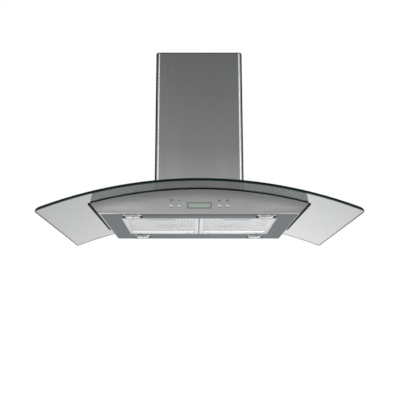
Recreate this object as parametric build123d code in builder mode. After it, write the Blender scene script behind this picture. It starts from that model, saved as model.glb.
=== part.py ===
from build123d import *

import math
import os

# A ceiling-hung cooker hood: a curved glass canopy over a shallow steel casing, with a square
# telescopic chimney on top. Millimetres, +Z up. The origin is the middle of the ceiling bracket's
# top face; X runs to the right as seen from the control panel, Y to the back. Heights in the
# names and sketches below are measured upwards from the flat underside, through above().

# ---------------------------------------------------------------- driving dimensions
HOOD_HEIGHT = 540.0             # ceiling to underside, with the chimney pushed together
HEIGHT_TRAVEL = 300.0           # how far the hood can be let down on its frame

GLASS_WIDTH = 900.0
GLASS_DEPTH = 600.0
GLASS_THICKNESS = 6.0
GLASS_RADIUS = 1214.0           # upper face
GLASS_APEX = 81.5               # upper face above the underside, on the centre line
GLASS_FRONT_CORNER = 20.0
GLASS_REAR_CORNER = 8.0
GLASS_CUTOUT = 236.0            # square hole under the chimney
EDGE_GRIND = 0.8                # ground bevel on the glass edge

SHEET = 1.2                     # casing and chimney sheet
SEAL = 3.0                      # rubber between glass and casing
SEAL_OVERHANG = 10.3            # how far the side seals show beyond the casing, in front
SEAL_OVERHANG_REAR = 5.0
SEAL_SETBACK = 12.0             # of the side seals' front ends behind the fascia
SEAL_LAND = 14.0                # width of the seal on top of the casing

CASING_FRONT = -210.3
CASING_REAR = 202.5
CASING_HALF = 311.7             # half width at the top of the side walls
UNDERSIDE_HALF = 285.5          # half width at the underside

CHIMNEY = 270.0                 # outer size of the lower cover
CHIMNEY_CORNER = 12.0           # of what is inside the covers
COVER_FOLD = 9.5                # width of the strip folded back at each side of front and back
COVER_FOLD_ANGLE = 15.0
COVER_CORNER = 2.6              # outer bend radius at the covers' corners
COVER_CREASE = 8.0              # bend radius of the folds
COVER_GAP = 0.8                 # between the lower and the upper cover
BRACKET = 3.0                   # ceiling bracket plate
BRACKET_OPENING = 180.0
CEILING_HOLE_SPACING = 220.0
CEILING_HOLE_RADIUS = 4.5

FILTER_FRONT = -147.3           # edges of the filter opening
FILTER_REAR = 109.7
FILTER_HALF = 229.5
FILTER_HEIGHT = 10.0
FILTER_GAP = 0.5                # all round each filter

LAMP_X = 195.0
LAMP_FRONT_Y = -179.2
LAMP_REAR_Y = 157.5
LAMP_RIM = 30.5                 # radius

BUTTON_RADIUS = 5.85
BUTTON_TRAVEL = 1.2
BUTTON_HEIGHT = 22.9
BUTTON_INNER_X = 57.6
BUTTON_OUTER_X = 80.6
DISPLAY_WIDTH = 71.0
DISPLAY_TALL = 18.5
DISPLAY_HEIGHT = 25.0

BOX = 196.0                     # motor box, square
BOX_TOP = 269.2
FAN_Y = -12.0
FAN_HEIGHT = 161.0
SPIGOT_RADIUS = 74.5            # outlet for a 150 mm duct
SPIGOT_TOP = 305.0

os.makedirs("parts", exist_ok=True)


# ---------------------------------------------------------------- shared geometry
def above(height):
    """The z of a level that lies this high above the underside."""
    return height - HOOD_HEIGHT


GLASS_UNDER_RADIUS = GLASS_RADIUS - GLASS_THICKNESS
DECK_RADIUS = GLASS_UNDER_RADIUS - SEAL
DECK_UNDER_RADIUS = DECK_RADIUS - SHEET
ARCH_AXIS = above(GLASS_APEX) - GLASS_RADIUS
CASING_DEPTH = CASING_REAR - CASING_FRONT
CORNER_HEIGHT = ARCH_AXIS + math.sqrt(DECK_RADIUS**2 - CASING_HALF**2) - above(0)
WALL_LEAN = (CASING_HALF - UNDERSIDE_HALF) / CORNER_HEIGHT
WALL_WIDTH = SHEET * math.hypot(1, WALL_LEAN)      # the leaning wall, cut level
BUTTONS = (
    ("button_light", -BUTTON_OUTER_X),
    ("button_minus", -BUTTON_INNER_X),
    ("button_plus", BUTTON_INNER_X),
    ("button_power", BUTTON_OUTER_X),
)
LAMPS = (
    ("front_left", -LAMP_X, LAMP_FRONT_Y),
    ("front_right", LAMP_X, LAMP_FRONT_Y),
    ("rear_left", -LAMP_X, LAMP_REAR_Y),
    ("rear_right", LAMP_X, LAMP_REAR_Y),
)
SIDES = (("left", -1), ("right", 1))


def save(piece, name):
    """Label a finished piece and write it as its own file."""
    piece.part.label = name
    export_step(piece.part, f"parts/{name}.step")


def section(y):
    """An upright cross-section plane at y: sketch x is X, sketch y is Z, its normal faces front."""
    return Plane(origin=(0, y, 0), x_dir=(1, 0, 0), z_dir=(0, -1, 0))


def arch_disc(radius, mode=Mode.ADD):
    """The full disc under one of the arch's concentric curves, in the current sketch."""
    with Locations((0, ARCH_AXIS)):
        Circle(radius, mode=mode)


def arch_band(outer_radius, inner_radius, half_width):
    """The band between two of the arch's curves, cut to a width, in the current sketch."""
    arch_disc(outer_radius)
    arch_disc(inner_radius, mode=Mode.SUBTRACT)
    reach = GLASS_WIDTH / 2
    with Locations((0, ARCH_AXIS + outer_radius)):
        Rectangle(2 * half_width, reach, mode=Mode.INTERSECT)


def casing_outline():
    """The casing's front outline: a flat bottom, leaning sides and the arch on top."""
    top = GLASS_APEX + SEAL
    Polygon(
        (-UNDERSIDE_HALF, above(0)),
        (UNDERSIDE_HALF, above(0)),
        (UNDERSIDE_HALF + WALL_LEAN * top, above(top)),
        (-UNDERSIDE_HALF - WALL_LEAN * top, above(top)),
        align=None,
    )
    arch_disc(DECK_RADIUS, mode=Mode.INTERSECT)


def cover_outline(inset, corner, mode=Mode.ADD):
    """The chimney's outline, inset all round, in the current sketch: square, with its front and
    back folded back a little along both sides."""
    half = CHIMNEY / 2
    fold = math.radians(COVER_FOLD_ANGLE)
    crease_x = half - COVER_FOLD - inset * math.tan(fold / 2)
    strip = (COVER_FOLD - inset * (1 - math.sin(fold))) / math.cos(fold)
    corner_y = half - inset * math.cos(fold) - strip * math.sin(fold)
    right = [
        (crease_x, -half + inset),
        (half - inset, -corner_y),
        (half - inset, corner_y),
        (crease_x, half - inset),
    ]
    left = [(-x, y) for x, y in reversed(right)]
    face = Polygon(*right, *left, align=None, mode=Mode.PRIVATE).faces()[0]
    face = face.fillet_2d(corner, [v for v in face.vertices() if abs(v.X) > crease_x + 1])
    face = face.fillet_2d(COVER_CREASE, [v for v in face.vertices() if abs(v.X) < crease_x + 0.01])
    add(face, mode=mode)


def cover_tube(inset, bottom, top):
    """A length of chimney cover with this outline, added to the current part."""
    with BuildSketch(Plane.XY.offset(above(bottom))) as ring:
        cover_outline(inset, COVER_CORNER)
        cover_outline(inset + SHEET, COVER_CORNER - SHEET, mode=Mode.SUBTRACT)
    extrude(ring.sketch, amount=top - bottom)


def trim_below_arch(radius, half_width):
    """Cut away everything in the current part that lies under one of the arch's curves."""
    with BuildSketch(section(half_width)) as below:
        arch_disc(radius)
    extrude(below.sketch, amount=2 * half_width, mode=Mode.SUBTRACT)


def four_posts(half, leg, thickness):
    """Four angle sections, one in each corner of a square, in the current sketch."""
    for x_side in (-1, 1):
        for y_side in (-1, 1):
            with Locations((x_side * (half - thickness / 2), y_side * (half - leg / 2))):
                Rectangle(thickness, leg)
            with Locations((x_side * (half - leg / 2), y_side * (half - thickness / 2))):
                Rectangle(leg, thickness)


# ---------------------------------------------------------------- glass and its seals
with BuildPart() as glass_canopy:
    with BuildSketch(section(GLASS_DEPTH / 2)):
        arch_band(GLASS_RADIUS, GLASS_UNDER_RADIUS, GLASS_WIDTH / 2)
    extrude(amount=GLASS_DEPTH)
    with BuildSketch(Plane.XY.offset(above(-GLASS_APEX))) as outline:
        Rectangle(GLASS_WIDTH, GLASS_DEPTH)
        fillet(outline.vertices().group_by(Axis.Y)[0], GLASS_FRONT_CORNER)
        fillet(outline.vertices().group_by(Axis.Y)[-1], GLASS_REAR_CORNER)
        RectangleRounded(GLASS_CUTOUT, GLASS_CUTOUT, CHIMNEY_CORNER, mode=Mode.SUBTRACT)
    extrude(amount=2.5 * GLASS_APEX, mode=Mode.INTERSECT)
    faces = glass_canopy.faces().sort_by(SortBy.AREA)
    rims = [face.outer_wire().edges() for face in faces[-2:]]
    chamfer(rims[0] + rims[1], EDGE_GRIND)
save(glass_canopy, "glass_canopy")

with BuildPart() as glass_gasket:
    seal_half = CASING_HALF + SEAL_OVERHANG
    with BuildSketch(section(CASING_REAR)):
        arch_band(GLASS_UNDER_RADIUS, DECK_RADIUS, seal_half)
    extrude(amount=CASING_DEPTH)
    with BuildSketch(Plane.XY.offset(above(0))):
        with Locations((0, (CASING_FRONT + CASING_REAR) / 2)):
            Rectangle(2 * (CASING_HALF - SEAL_LAND), CASING_DEPTH - 2 * SEAL_LAND)
    extrude(amount=GLASS_APEX, mode=Mode.SUBTRACT)
    # the overhanging side strips start behind the fascia and narrow towards the back
    with BuildSketch(Plane.XY.offset(above(0))):
        for sign in (-1, 1):
            Polygon(
                (sign * (CASING_HALF + 0.5), CASING_FRONT - 1),
                (sign * (CASING_HALF + 0.5), CASING_FRONT + SEAL_SETBACK),
                (sign * seal_half, CASING_FRONT + SEAL_SETBACK),
                (sign * (CASING_HALF + SEAL_OVERHANG_REAR), CASING_REAR + 1),
                (sign * (seal_half + 5), CASING_REAR + 1),
                (sign * (seal_half + 5), CASING_FRONT - 1),
                align=None,
            )
    extrude(amount=GLASS_APEX, mode=Mode.SUBTRACT)
save(glass_gasket, "glass_gasket")

CLAMP_OUTER = 262.0             # square land on which the glass is clamped
RING_BOTTOM = 84.5
RING_TOP = 87.5

with BuildPart() as deck_seal:
    with BuildSketch(section(CLAMP_OUTER / 2)):
        arch_band(GLASS_UNDER_RADIUS, DECK_RADIUS, CLAMP_OUTER / 2)
    extrude(amount=CLAMP_OUTER)
    with BuildSketch(Plane.XY.offset(above(0))):
        Rectangle(GLASS_CUTOUT, GLASS_CUTOUT)
    extrude(amount=GLASS_APEX, mode=Mode.SUBTRACT)
save(deck_seal, "deck_seal")

with BuildPart() as clamp_gasket:
    with BuildSketch(Plane.XY.offset(above(GLASS_APEX - 10))):
        RectangleRounded(CLAMP_OUTER, CLAMP_OUTER, CHIMNEY_CORNER)
        Rectangle(GLASS_CUTOUT, GLASS_CUTOUT, mode=Mode.SUBTRACT)
    extrude(amount=RING_BOTTOM - GLASS_APEX + 10)
    trim_below_arch(GLASS_RADIUS, CLAMP_OUTER)
save(clamp_gasket, "clamp_gasket")

# ---------------------------------------------------------------- casing
CLAMP_SCREW_X = 110.0
CLAMP_SCREW_Y = 70.0
CLAMP_SCREWS = [(x * CLAMP_SCREW_X, y * CLAMP_SCREW_Y) for x in (-1, 1) for y in (-1, 1)]
SCREW_HOLE = 2.75
DECK_OPENING = 190.0

with BuildPart() as top_deck:
    with BuildSketch(section(CASING_REAR - SHEET)):
        arch_band(DECK_RADIUS, DECK_UNDER_RADIUS, CASING_HALF)
    extrude(amount=CASING_DEPTH - 2 * SHEET)
    with BuildSketch(Plane.XY.offset(above(0))):
        Rectangle(DECK_OPENING, DECK_OPENING)
        with Locations(*CLAMP_SCREWS):
            Circle(SCREW_HOLE)
    extrude(amount=GLASS_APEX, mode=Mode.SUBTRACT)
save(top_deck, "top_deck")

BEZEL_STEP = 2.5                # the bezel's lip over the edge of its hole
BUTTON_HOLE = BUTTON_RADIUS + 0.25

with BuildPart() as fascia:
    with BuildSketch(section(CASING_FRONT + SHEET)):
        casing_outline()
        with Locations((0, above(DISPLAY_HEIGHT))):
            Rectangle(DISPLAY_WIDTH - 2 * BEZEL_STEP, DISPLAY_TALL - 2 * BEZEL_STEP, mode=Mode.SUBTRACT)
        with Locations(*[(x, above(BUTTON_HEIGHT)) for name, x in BUTTONS]):
            Circle(BUTTON_HOLE, mode=Mode.SUBTRACT)
    extrude(amount=SHEET)
save(fascia, "fascia")

with BuildPart() as rear_wall:
    with BuildSketch(section(CASING_REAR)):
        casing_outline()
    extrude(amount=SHEET)
save(rear_wall, "rear_wall")

for side, sign in SIDES:
    with BuildPart() as side_wall:
        with BuildSketch(section(CASING_REAR - SHEET)):
            Polygon(
                (sign * UNDERSIDE_HALF, above(0)),
                (sign * CASING_HALF, above(CORNER_HEIGHT)),
                (sign * (CASING_HALF - WALL_WIDTH), above(CORNER_HEIGHT)),
                (sign * (UNDERSIDE_HALF - WALL_WIDTH), above(0)),
                align=None,
            )
            arch_disc(DECK_UNDER_RADIUS, mode=Mode.INTERSECT)
        extrude(amount=CASING_DEPTH - 2 * SHEET)
    save(side_wall, f"side_wall_{side}")

LAMP_HOLE = 25.0
LIP_HEIGHT = 14.0
FILTER_DEPTH = FILTER_REAR - FILTER_FRONT
FILTER_MIDDLE = (FILTER_FRONT + FILTER_REAR) / 2
LATCH_WIDTH = 30.0
LATCH_LOW = 4.3                 # underside of the latch tongue
LATCH_THICKNESS = 2.0
LATCH_CLEAR = 0.3
LATCH_X = FILTER_HALF / 2

with BuildPart() as underside_panel:
    with BuildSketch(Plane.XY.offset(above(0))):
        with Locations((0, (CASING_FRONT + CASING_REAR) / 2)):
            Rectangle(2 * (UNDERSIDE_HALF - WALL_WIDTH), CASING_DEPTH - 2 * SHEET)
    extrude(amount=SHEET)
    with BuildSketch(Plane.XY.offset(above(SHEET))):
        with Locations((0, FILTER_MIDDLE)):
            Rectangle(2 * (FILTER_HALF + SHEET), FILTER_DEPTH + 2 * SHEET)
    extrude(amount=LIP_HEIGHT - SHEET)
    with BuildSketch(Plane.XY.offset(above(0))):
        with Locations((0, FILTER_MIDDLE)):
            Rectangle(2 * FILTER_HALF, FILTER_DEPTH)
        with Locations(*[(x, y) for name, x, y in LAMPS]):
            Circle(LAMP_HOLE)
    extrude(amount=LIP_HEIGHT, mode=Mode.SUBTRACT)
    # slots for the filter latches in the front lip
    with BuildSketch(section(FILTER_FRONT)):
        with Locations(*[(s * LATCH_X, above(LATCH_LOW + LATCH_THICKNESS / 2)) for s in (-1, 1)]):
            Rectangle(LATCH_WIDTH + 2 * LATCH_CLEAR, LATCH_THICKNESS + 2 * LATCH_CLEAR)
    extrude(amount=SHEET, mode=Mode.SUBTRACT)
save(underside_panel, "underside_panel")

# ---------------------------------------------------------------- grease filters
# Each filter turns down about a bar in its rounded rear edge, which lies in two open hooks.
PIVOT_Y = FILTER_REAR - FILTER_GAP - FILTER_HEIGHT / 2
PIVOT_HEIGHT = FILTER_HEIGHT / 2
PIVOT_RADIUS = 2.0
HOOK_WIDTH = 7.0
HOOK_NOTCH = 8.0
HOOK_REACH = 4.0                # of the hook in front of the pivot
HOOK_OFFSET = 80.0              # of each hook from the filter's middle
NOTCH_REACH = 7.5
FRAME_BAR = 12.0                # width of the frame's bars
OUTER_BAR = 4.0                 # width of the bar on the filter's outer side
MESH_LOW = 6.5
MESH_THICKNESS = 2.0
MESH_PITCH_X = 13.0
MESH_PITCH_Y = 14.0
MESH_HOLE = 5.2
FILTER_WIDTH = FILTER_HALF - 2 * FILTER_GAP
PLATE_DEPTH = PIVOT_Y - FILTER_FRONT - FILTER_GAP
WINDOW_REAR = PIVOT_Y - NOTCH_REACH - 3
WINDOW_FRONT = FILTER_FRONT + FILTER_GAP + FRAME_BAR
WINDOW_DEPTH = WINDOW_REAR - WINDOW_FRONT
WINDOW_MIDDLE = (WINDOW_FRONT + WINDOW_REAR) / 2
WINDOW_WIDTH = FILTER_WIDTH - FRAME_BAR - OUTER_BAR
HOOKS = [s * FILTER_HALF / 2 + h * HOOK_OFFSET for s in (-1, 1) for h in (-1, 1)]

for side, sign in SIDES:
    middle = sign * FILTER_HALF / 2
    window_x = middle + sign * (FRAME_BAR - OUTER_BAR) / 2
    own_hooks = [middle - HOOK_OFFSET, middle + HOOK_OFFSET]

    with BuildPart() as filter_frame:
        with BuildSketch(Plane.XY.offset(above(0))):
            with Locations((middle, PIVOT_Y - PLATE_DEPTH / 2)):
                Rectangle(FILTER_WIDTH, PLATE_DEPTH)
        extrude(amount=FILTER_HEIGHT)
        with BuildSketch(Plane.YZ.offset(middle - FILTER_WIDTH / 2)):
            with Locations((PIVOT_Y, above(PIVOT_HEIGHT))):
                Circle(FILTER_HEIGHT / 2)
        extrude(amount=FILTER_WIDTH)
        with BuildSketch(Plane.XY.offset(above(0))):
            with Locations((window_x, WINDOW_MIDDLE)):
                Rectangle(WINDOW_WIDTH, WINDOW_DEPTH)
            with Locations(*[(x, PIVOT_Y) for x in own_hooks]):
                Rectangle(HOOK_NOTCH, 2 * NOTCH_REACH)
        extrude(amount=FILTER_HEIGHT, mode=Mode.SUBTRACT)
        with BuildSketch(Plane.YZ.offset(middle - HOOK_OFFSET - HOOK_NOTCH)):
            with Locations((PIVOT_Y, above(PIVOT_HEIGHT))):
                Circle(PIVOT_RADIUS)
        extrude(amount=2 * (HOOK_OFFSET + HOOK_NOTCH))
        # the slot in which the latch slides, through the front bar
        with BuildSketch(section(WINDOW_FRONT)):
            with Locations((sign * LATCH_X, above(LATCH_LOW + LATCH_THICKNESS / 2))):
                Rectangle(LATCH_WIDTH + 2 * LATCH_CLEAR, LATCH_THICKNESS + 2 * LATCH_CLEAR)
        extrude(amount=FRAME_BAR, mode=Mode.SUBTRACT)
    save(filter_frame, f"filter_frame_{side}")

    with BuildPart() as filter_mesh:
        with BuildSketch(Plane.XY.offset(above(MESH_LOW))):
            with Locations((window_x, WINDOW_MIDDLE)):
                Rectangle(WINDOW_WIDTH, WINDOW_DEPTH)
                with GridLocations(MESH_PITCH_X, MESH_PITCH_Y, 16, 15):
                    RegularPolygon(MESH_HOLE, 4, mode=Mode.SUBTRACT)
        extrude(amount=MESH_THICKNESS)
    save(filter_mesh, f"filter_mesh_{side}")

    latch_tip = FILTER_FRONT - 3.0
    latch_back = WINDOW_FRONT + 17.0
    pull_depth = 3.0
    with BuildPart() as filter_latch:
        with BuildSketch(Plane.XY.offset(above(LATCH_LOW))):
            with Locations((sign * LATCH_X, (latch_tip + latch_back) / 2)):
                Rectangle(LATCH_WIDTH, latch_back - latch_tip)
        extrude(amount=LATCH_THICKNESS)
        # the finger pull, a wide lip turned down behind the front bar
        with BuildSketch(Plane.XY.offset(above(0.8))):
            with Locations((sign * LATCH_X, latch_back - pull_depth / 2)):
                SlotOverall(80.0, pull_depth)
        extrude(amount=LATCH_LOW + LATCH_THICKNESS - 0.8)
    save(filter_latch, f"filter_latch_{side}")

with BuildPart() as filter_hooks:
    for hook_x in HOOKS:
        with BuildSketch(Plane.YZ.offset(hook_x - HOOK_WIDTH / 2)):
            with Locations(((PIVOT_Y - HOOK_REACH + FILTER_REAR) / 2, above(PIVOT_HEIGHT))):
                Rectangle(FILTER_REAR - PIVOT_Y + HOOK_REACH, 2 * HOOK_REACH)
            with Locations((PIVOT_Y, above(PIVOT_HEIGHT))):
                Circle(PIVOT_RADIUS + 0.06, mode=Mode.SUBTRACT)
            with Locations((PIVOT_Y, above(PIVOT_HEIGHT + HOOK_REACH))):
                Rectangle(2 * PIVOT_RADIUS + 0.12, 2 * HOOK_REACH, mode=Mode.SUBTRACT)
        extrude(amount=HOOK_WIDTH)
save(filter_hooks, "filter_hooks")

# ---------------------------------------------------------------- lamps
LENS_SEAT = 2.0
LENS_THICKNESS = 2.0
LENS_RADIUS = 23.1


def lamp_plane(x, y):
    """An upright half-section through a lamp: sketch x is the radius, sketch y the height."""
    return Plane(origin=(x, y, above(0)), x_dir=(1, 0, 0), z_dir=(0, -1, 0))


def turned(x, y, profile):
    """A ring or cup turned about a lamp's own upright axis, added to the current part."""
    with BuildSketch(lamp_plane(x, y)) as half_section:
        Polygon(*profile, align=None)
    revolve(half_section.sketch, axis=Axis((x, y, 0), (0, 0, 1)))


for corner, lamp_x, lamp_y in LAMPS:
    with BuildPart() as lamp_bezel:
        turned(
            lamp_x,
            lamp_y,
            [
                (LAMP_RIM, 0),
                (LAMP_RIM - 2, -2),
                (23.5, -2),
                (22, 0.5),
                (22, LENS_SEAT),
                (23.2, LENS_SEAT),
                (23.2, 12),
                (24.8, 12),
                (24.8, 0),
            ],
        )
    save(lamp_bezel, f"lamp_bezel_{corner}")

    with BuildPart() as lamp_lens:
        with BuildSketch(Plane.XY.offset(above(LENS_SEAT))):
            with Locations((lamp_x, lamp_y)):
                Circle(LENS_RADIUS)
        extrude(amount=LENS_THICKNESS)
    save(lamp_lens, f"lamp_lens_{corner}")

REFLECTOR_FOOT = LENS_SEAT + LENS_THICKNESS
REFLECTOR_NECK = 24.0
HOLDER_TOP = 32.0

with BuildPart() as lamp_reflectors:
    for corner, lamp_x, lamp_y in LAMPS:
        turned(
            lamp_x,
            lamp_y,
            [
                (22.9, REFLECTOR_FOOT),
                (10, REFLECTOR_NECK),
                (10, HOLDER_TOP),
                (0, HOLDER_TOP),
                (0, REFLECTOR_NECK),
                (8.6, REFLECTOR_NECK),
                (21.6, REFLECTOR_FOOT),
            ],
        )
save(lamp_reflectors, "lamp_reflectors")

with BuildPart() as lamp_bulbs:
    for corner, lamp_x, lamp_y in LAMPS:
        turned(
            lamp_x,
            lamp_y,
            [(0, 8), (2.6, 9), (4.5, 12), (4.5, REFLECTOR_NECK), (0, REFLECTOR_NECK)],
        )
save(lamp_bulbs, "lamp_bulbs")

# ---------------------------------------------------------------- controls
INNER_FACE = CASING_FRONT + SHEET
BOARD_FRONT = CASING_FRONT + 13.0
BOARD_THICKNESS = 1.6
BUTTON_PROUD = 2.0
BUTTON_BACK = CASING_FRONT + 6.0
SWITCH_GAP = 0.3                # between a pressed button and its switch
DISH_RADIUS = 4.3               # of the hollow in each button's face
DISH_DEPTH = 1.1
DISH_SPHERE = (DISH_RADIUS**2 + DISH_DEPTH**2) / (2 * DISH_DEPTH)

for name, button_x in BUTTONS:
    with BuildPart() as button:
        with BuildSketch(section(BUTTON_BACK)):
            with Locations((button_x, above(BUTTON_HEIGHT))):
                Circle(BUTTON_RADIUS)
        extrude(amount=BUTTON_BACK - CASING_FRONT + BUTTON_PROUD)
        fillet(button.edges().sort_by(Axis.Y)[0], 1.2)
        dish_centre = CASING_FRONT - BUTTON_PROUD - DISH_SPHERE + DISH_DEPTH
        with Locations((button_x, dish_centre, above(BUTTON_HEIGHT))):
            Sphere(DISH_SPHERE, mode=Mode.SUBTRACT)
        with BuildSketch(section(INNER_FACE + 1.3)):
            with Locations((button_x, above(BUTTON_HEIGHT))):
                Circle(BUTTON_RADIUS + 1.6)
        extrude(amount=1.0)
    save(button, name)

with BuildPart() as display_bezel:
    with BuildSketch(section(CASING_FRONT)):
        with Locations((0, above(DISPLAY_HEIGHT))):
            RectangleRounded(DISPLAY_WIDTH, DISPLAY_TALL, 1.5)
    extrude(amount=0.8)
    with BuildSketch(section(INNER_FACE + 1)):
        with Locations((0, above(DISPLAY_HEIGHT))):
            Rectangle(DISPLAY_WIDTH - 2 * BEZEL_STEP, DISPLAY_TALL - 2 * BEZEL_STEP)
    extrude(amount=INNER_FACE + 1 - CASING_FRONT)
    with BuildSketch(section(INNER_FACE + 1)):
        with Locations((0, above(DISPLAY_HEIGHT))):
            Rectangle(DISPLAY_WIDTH - 8, DISPLAY_TALL - 7)
    extrude(amount=INNER_FACE + 1 - CASING_FRONT + 0.8, mode=Mode.SUBTRACT)
save(display_bezel, "display_bezel")

with BuildPart() as display_window:
    with BuildSketch(section(INNER_FACE + 1)):
        with Locations((0, above(DISPLAY_HEIGHT))):
            Rectangle(DISPLAY_WIDTH - 8, DISPLAY_TALL - 7)
    extrude(amount=INNER_FACE + 1 - CASING_FRONT + 0.3)
save(display_window, "display_window")

# The board stands on four spacers behind the fascia and carries the display and the switches.
with BuildPart() as control_board:
    with BuildSketch(section(BOARD_FRONT + BOARD_THICKNESS)):
        with Locations((0, above(DISPLAY_HEIGHT))):
            Rectangle(2 * BUTTON_OUTER_X + 30, 32)
    extrude(amount=BOARD_THICKNESS)
    with BuildSketch(section(BOARD_FRONT)):
        with Locations((0, above(DISPLAY_HEIGHT))):
            with GridLocations(2 * BUTTON_OUTER_X + 22, 24, 2, 2):
                Circle(2.5)
    extrude(amount=BOARD_FRONT - INNER_FACE)
    with BuildSketch(section(BOARD_FRONT)):
        with Locations(*[(x, above(BUTTON_HEIGHT)) for name, x in BUTTONS]):
            Rectangle(6, 6)
    extrude(amount=3.5)
    with BuildSketch(section(BOARD_FRONT)):
        with Locations(*[(x, above(BUTTON_HEIGHT)) for name, x in BUTTONS]):
            Circle(1.6)
    extrude(amount=BOARD_FRONT - BUTTON_BACK - BUTTON_TRAVEL - SWITCH_GAP)
    with BuildSketch(section(BOARD_FRONT)):
        with Locations((0, above(DISPLAY_HEIGHT))):
            Rectangle(DISPLAY_WIDTH - 6, DISPLAY_TALL)
    extrude(amount=BOARD_FRONT - INNER_FACE - 1)
save(control_board, "control_board")

# ---------------------------------------------------------------- lower frame and chimney covers
POST_HALF = 120.0               # outer faces of the lower posts
POST_LEG = 20.0
POST_SHEET = 2.0
POST_GAP = 0.5                  # between the lower and the upper posts
LOWER_POST_TOP = 528.0
UPPER_POST_BOTTOM = 100.0
LOCK_HEIGHT = 510.0             # of the locking screws
LOCK_Y = POST_HALF - POST_LEG / 2 - 2.5
UPPER_HALF = POST_HALF - POST_SHEET - POST_GAP
LUG_WIDTH = 24.0
LUG_TOP = 96.0
COVER_SCREW_HEIGHT = 91.8
COVER_INNER_HALF = CHIMNEY / 2 - SHEET
CLAMP_BOLT_TIP = 58.0
CLAMP_NUT_LOW = 61.3

with BuildPart() as lower_frame_ring:
    with BuildSketch(Plane.XY.offset(above(RING_BOTTOM))):
        RectangleRounded(CLAMP_OUTER, CLAMP_OUTER, CHIMNEY_CORNER)
        Rectangle(2 * COVER_INNER_HALF, LUG_WIDTH)
        Rectangle(BOX + 1, BOX + 1, mode=Mode.SUBTRACT)
        with Locations(*CLAMP_SCREWS):
            Circle(SCREW_HOLE, mode=Mode.SUBTRACT)
    extrude(amount=RING_TOP - RING_BOTTOM)
    with BuildSketch(Plane.XY.offset(above(RING_TOP))):
        with Locations(*[(s * (COVER_INNER_HALF - 0.75), 0) for s in (-1, 1)]):
            Rectangle(1.5, LUG_WIDTH)
    extrude(amount=LUG_TOP - RING_TOP)
    with BuildSketch(Plane.YZ.offset(-CHIMNEY)):
        with Locations((0, above(COVER_SCREW_HEIGHT))):
            Circle(2)
    extrude(amount=2 * CHIMNEY, mode=Mode.SUBTRACT)
save(lower_frame_ring, "lower_frame_ring")

with BuildPart() as lower_posts:
    with BuildSketch(Plane.XY.offset(above(RING_TOP))):
        four_posts(POST_HALF, POST_LEG, POST_SHEET)
    extrude(amount=LOWER_POST_TOP - RING_TOP)
    with BuildSketch(Plane.YZ.offset(-CHIMNEY)):
        with Locations(*[(s * LOCK_Y, above(LOCK_HEIGHT)) for s in (-1, 1)]):
            Circle(SCREW_HOLE)
    extrude(amount=2 * CHIMNEY, mode=Mode.SUBTRACT)
save(lower_posts, "lower_posts")

with BuildPart() as chimney_lower_cover:
    cover_tube(0, GLASS_APEX - 10, HOOD_HEIGHT - BRACKET - 1)
    trim_below_arch(GLASS_RADIUS, CHIMNEY)
    with BuildSketch(Plane.YZ.offset(-CHIMNEY)):
        with Locations((0, above(COVER_SCREW_HEIGHT))):
            Circle(2)
    extrude(amount=2 * CHIMNEY, mode=Mode.SUBTRACT)
save(chimney_lower_cover, "chimney_lower_cover")

with BuildPart() as hood_screws:
    # four clamp bolts that pull the frame ring, the glass and the deck together
    for screw_x, screw_y in CLAMP_SCREWS:
        with BuildSketch(Plane.XY.offset(above(RING_TOP))):
            with Locations((screw_x, screw_y)):
                Circle(4.5)
        extrude(amount=4)
        with BuildSketch(Plane.XY.offset(above(CLAMP_BOLT_TIP))):
            with Locations((screw_x, screw_y)):
                Circle(2.5)
        extrude(amount=RING_TOP - CLAMP_BOLT_TIP)
        with BuildSketch(Plane.XY.offset(above(CLAMP_NUT_LOW))):
            with Locations((screw_x, screw_y)):
                RegularPolygon(4.5, 6)
        extrude(amount=4)
    for x_side in (-1, 1):
        # four locking screws in the posts' slots, each with its head outside and nut inside
        for y_side in (-1, 1):
            outside = POST_HALF if x_side > 0 else -POST_HALF
            inside = x_side * (UPPER_HALF - POST_SHEET - 0.3)
            with BuildSketch(Plane.YZ.offset(outside)):
                with Locations((y_side * LOCK_Y, above(LOCK_HEIGHT))):
                    Circle(4.5)
            extrude(amount=x_side * 2.5)
            with BuildSketch(Plane.YZ.offset(outside)):
                with Locations((y_side * LOCK_Y, above(LOCK_HEIGHT))):
                    Circle(2.5)
            extrude(amount=-x_side * 9)
            with BuildSketch(Plane.YZ.offset(inside)):
                with Locations((y_side * LOCK_Y, above(LOCK_HEIGHT))):
                    RegularPolygon(4.5, 6)
            extrude(amount=-x_side * 3.5)
        # one screw through each side of the lower cover into the ring's lug
        with BuildSketch(Plane.YZ.offset(x_side * CHIMNEY / 2)):
            with Locations((0, above(COVER_SCREW_HEIGHT))):
                Circle(3.6)
        extrude(amount=x_side * 1.4, taper=20)
        with BuildSketch(Plane.YZ.offset(x_side * CHIMNEY / 2)):
            with Locations((0, above(COVER_SCREW_HEIGHT))):
                Circle(2)
        extrude(amount=-x_side * 5)
save(hood_screws, "hood_screws")

# ---------------------------------------------------------------- ceiling bracket, upper frame and cover
UPPER_INSET = SHEET + COVER_GAP
UPPER_COVER = CHIMNEY - 2 * UPPER_INSET
UPPER_COVER_BOTTOM = 98.5
HANGER_SCREW = 112.0
HANGER_SCREWS = [(-HANGER_SCREW, 0), (HANGER_SCREW, 0), (0, -HANGER_SCREW), (0, HANGER_SCREW)]
COVER_LIP = 24.0
BRACKET_BOTTOM = HOOD_HEIGHT - BRACKET

with BuildPart() as ceiling_bracket:
    with BuildSketch(Plane.XY.offset(above(BRACKET_BOTTOM))):
        cover_outline(UPPER_INSET, COVER_CORNER)
        RectangleRounded(BRACKET_OPENING, BRACKET_OPENING, 8, mode=Mode.SUBTRACT)
        with GridLocations(CEILING_HOLE_SPACING, CEILING_HOLE_SPACING, 2, 2):
            Circle(CEILING_HOLE_RADIUS, mode=Mode.SUBTRACT)
        with Locations(*HANGER_SCREWS):
            Circle(2, mode=Mode.SUBTRACT)
    extrude(amount=BRACKET)
save(ceiling_bracket, "ceiling_bracket")

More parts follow.
